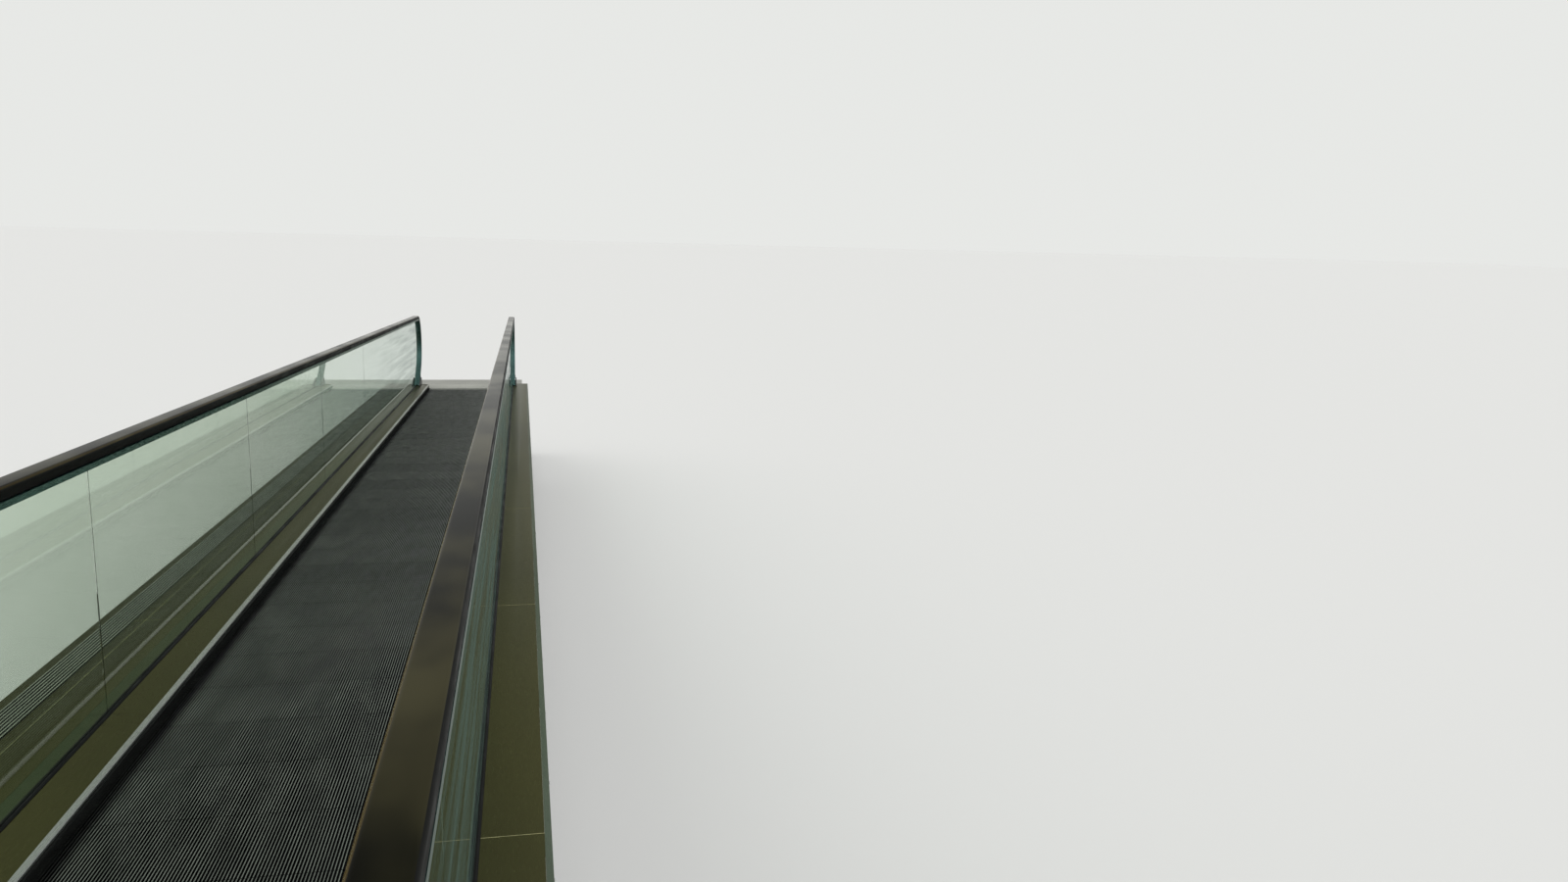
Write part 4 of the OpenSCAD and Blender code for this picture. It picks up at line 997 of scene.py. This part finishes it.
def inlet_brushes():
    """Ring of short bristles round each handrail where it goes into its shroud."""
    outer = [(-0.0455, -0.0045), (0.0455, -0.0045), (0.0455, 0.052), (-0.0455, 0.052)]
    inner = [(-0.0408, -0.0006), (0.0408, -0.0006), (0.0408, 0.046), (-0.0408, 0.046)]
    depth, mouth_h = 0.010, DECK_H + 0.086
    along = Vector((0, -math.cos(INLET_ANGLE), -math.sin(INLET_ANGLE)))
    out = Vector((0, -math.sin(INLET_ANGLE), math.cos(INLET_ANGLE)))
    centre = Vector((0, EXIT_S, EXIT_H)) + along * (EXIT_H - mouth_h) / math.sin(INLET_ANGLE)
    points = [centre + along * step + Vector((x, 0, 0)) + out * b
              for step in (0, depth) for ring in (outer, inner) for x, b in ring]
    faces = []
    for i in range(4):
        j = (i + 1) % 4
        faces += [(i, j, 4 + j, 4 + i), (8 + i, 12 + i, 12 + j, 8 + j),
                  (i, 8 + i, 8 + j, j), (4 + i, 4 + j, 12 + j, 12 + i)]
    parts = [([(side * GLASS_X + p.x, end * p.y, p.z) for p in points], faces)
             for side in (1, -1) for end in (1, -1)]
    piece("inlet_brushes", *joined(parts), bristle_black, "inlet")


def chain_rollers():
    """Wheels on the chain's joints between the pallets' own."""
    inner_face, radius, width = 0.5135, 0.0375, 0.0225
    hub_r, boss_r, web_r, tyre_r, dish, ease = 0.020, 0.021, 0.030, 0.034, 0.004, 0.001
    rings = [(0, 0.013), (ease, hub_r), (dish, boss_r), (dish, web_r), (0, tyre_r), (ease, radius),
             (width - ease, radius), (width, tyre_r), (width - dish, web_r), (width - dish, boss_r),
             (width, hub_r), (width, 0.0)]
    places = []
    for side in (1, -1):
        flip = Matrix.Scale(side, 4, (1, 0, 0))
        for u in range(LOOP_LINKS):
            if u % LINKS_PER_PALLET:
                here = loop_at(u).translation
                places.append(flip @ shift(inner_face, here.y, here.z))
    wheel = turned(rings, 24, along_x=True, caps=(False, False))
    piece("chain_rollers", *copies(*wheel, places), roller_tyre, "chain", smooth=True)


splices()
gussets()
trestle_heads()
panel_details()
trim_screws()
inlet_brushes()
chain_rollers()


# Floor, light and camera

def stage():
    material, tree, shader = new_material("pale_floor")
    shader.inputs["Base Color"].default_value = (0.72, 0.72, 0.71, 1)
    shader.inputs["Roughness"].default_value = 0.9
    mesh = bpy.data.meshes.new("floor")
    far = 160
    mesh.from_pydata([(-far, -far, -0.001), (far, -far, -0.001), (far, far, -0.001), (-far, far, -0.001)],
                     [], [(0, 1, 2, 3)])
    mesh.materials.append(material)
    floor = bpy.data.objects.new("floor", mesh)
    bpy.context.scene.collection.objects.link(floor)


def world():
    """A pale surround that camera, metal and glass see, and a softer one that lights the walkway."""
    sky = bpy.data.worlds.new("surround")
    sky.use_nodes = True
    tree = sky.node_tree
    ambient = tree.nodes["Background"]
    ambient.inputs["Color"].default_value = (0.97, 0.98, 0.96, 1)
    ambient.inputs["Strength"].default_value = 0.55
    seen = plain_shader(tree, "ShaderNodeBackground", (0.80, 0.81, 0.79))
    path = add(tree, "ShaderNodeLightPath").outputs
    direct = calculate(tree, "MAXIMUM", path["Is Camera Ray"], path["Is Glossy Ray"])
    any_seen = calculate(tree, "MAXIMUM", direct, path["Is Transmission Ray"])
    mixed = mix_shaders(tree, any_seen, ambient.outputs["Background"], seen)
    tree.links.new(mixed, tree.nodes["World Output"].inputs["Surface"])
    bpy.context.scene.world = sky


def lamp(name, direction, strength, softness):
    """A soft light from far away, even along the whole walkway, that glass doesn't show as a disc."""
    light = bpy.data.lights.new(name, "SUN")
    light.energy = strength
    light.angle = math.radians(softness)
    thing = bpy.data.objects.new(name, light)
    thing.rotation_euler = Vector(direction).to_track_quat("-Z", "Y").to_euler()
    thing.visible_transmission = False
    bpy.context.scene.collection.objects.link(thing)


def camera():
    """The photograph's view: its lens, its place over the upper landing and its angles."""
    focal_px, width_px = 1190, 1600
    heading, tilt, roll = math.radians(12.81), math.radians(10.72), math.radians(1.73)
    data = bpy.data.cameras.new("camera")
    data.sensor_width = 36
    data.lens = focal_px / width_px * data.sensor_width
    thing = bpy.data.objects.new("camera", data)
    turn = Matrix.Rotation(-heading, 4, "Z") @ Matrix.Rotation(math.pi / 2 - tilt, 4, "X")
    turn = turn @ Matrix.Rotation(roll, 4, "Z")
    eye = RAMP @ Vector((0.811, -9.229, 1.648))
    thing.matrix_world = Matrix.Translation(eye) @ turn
    bpy.context.scene.collection.objects.link(thing)
    bpy.context.scene.camera = thing


stage()
world()
lamp("key", (-0.55, 0.35, -1), 1.5, 80)
lamp("fill", (0.8, -0.2, -0.7), 0.6, 60)
camera()

bpy.context.scene.view_settings.view_transform = "Standard"
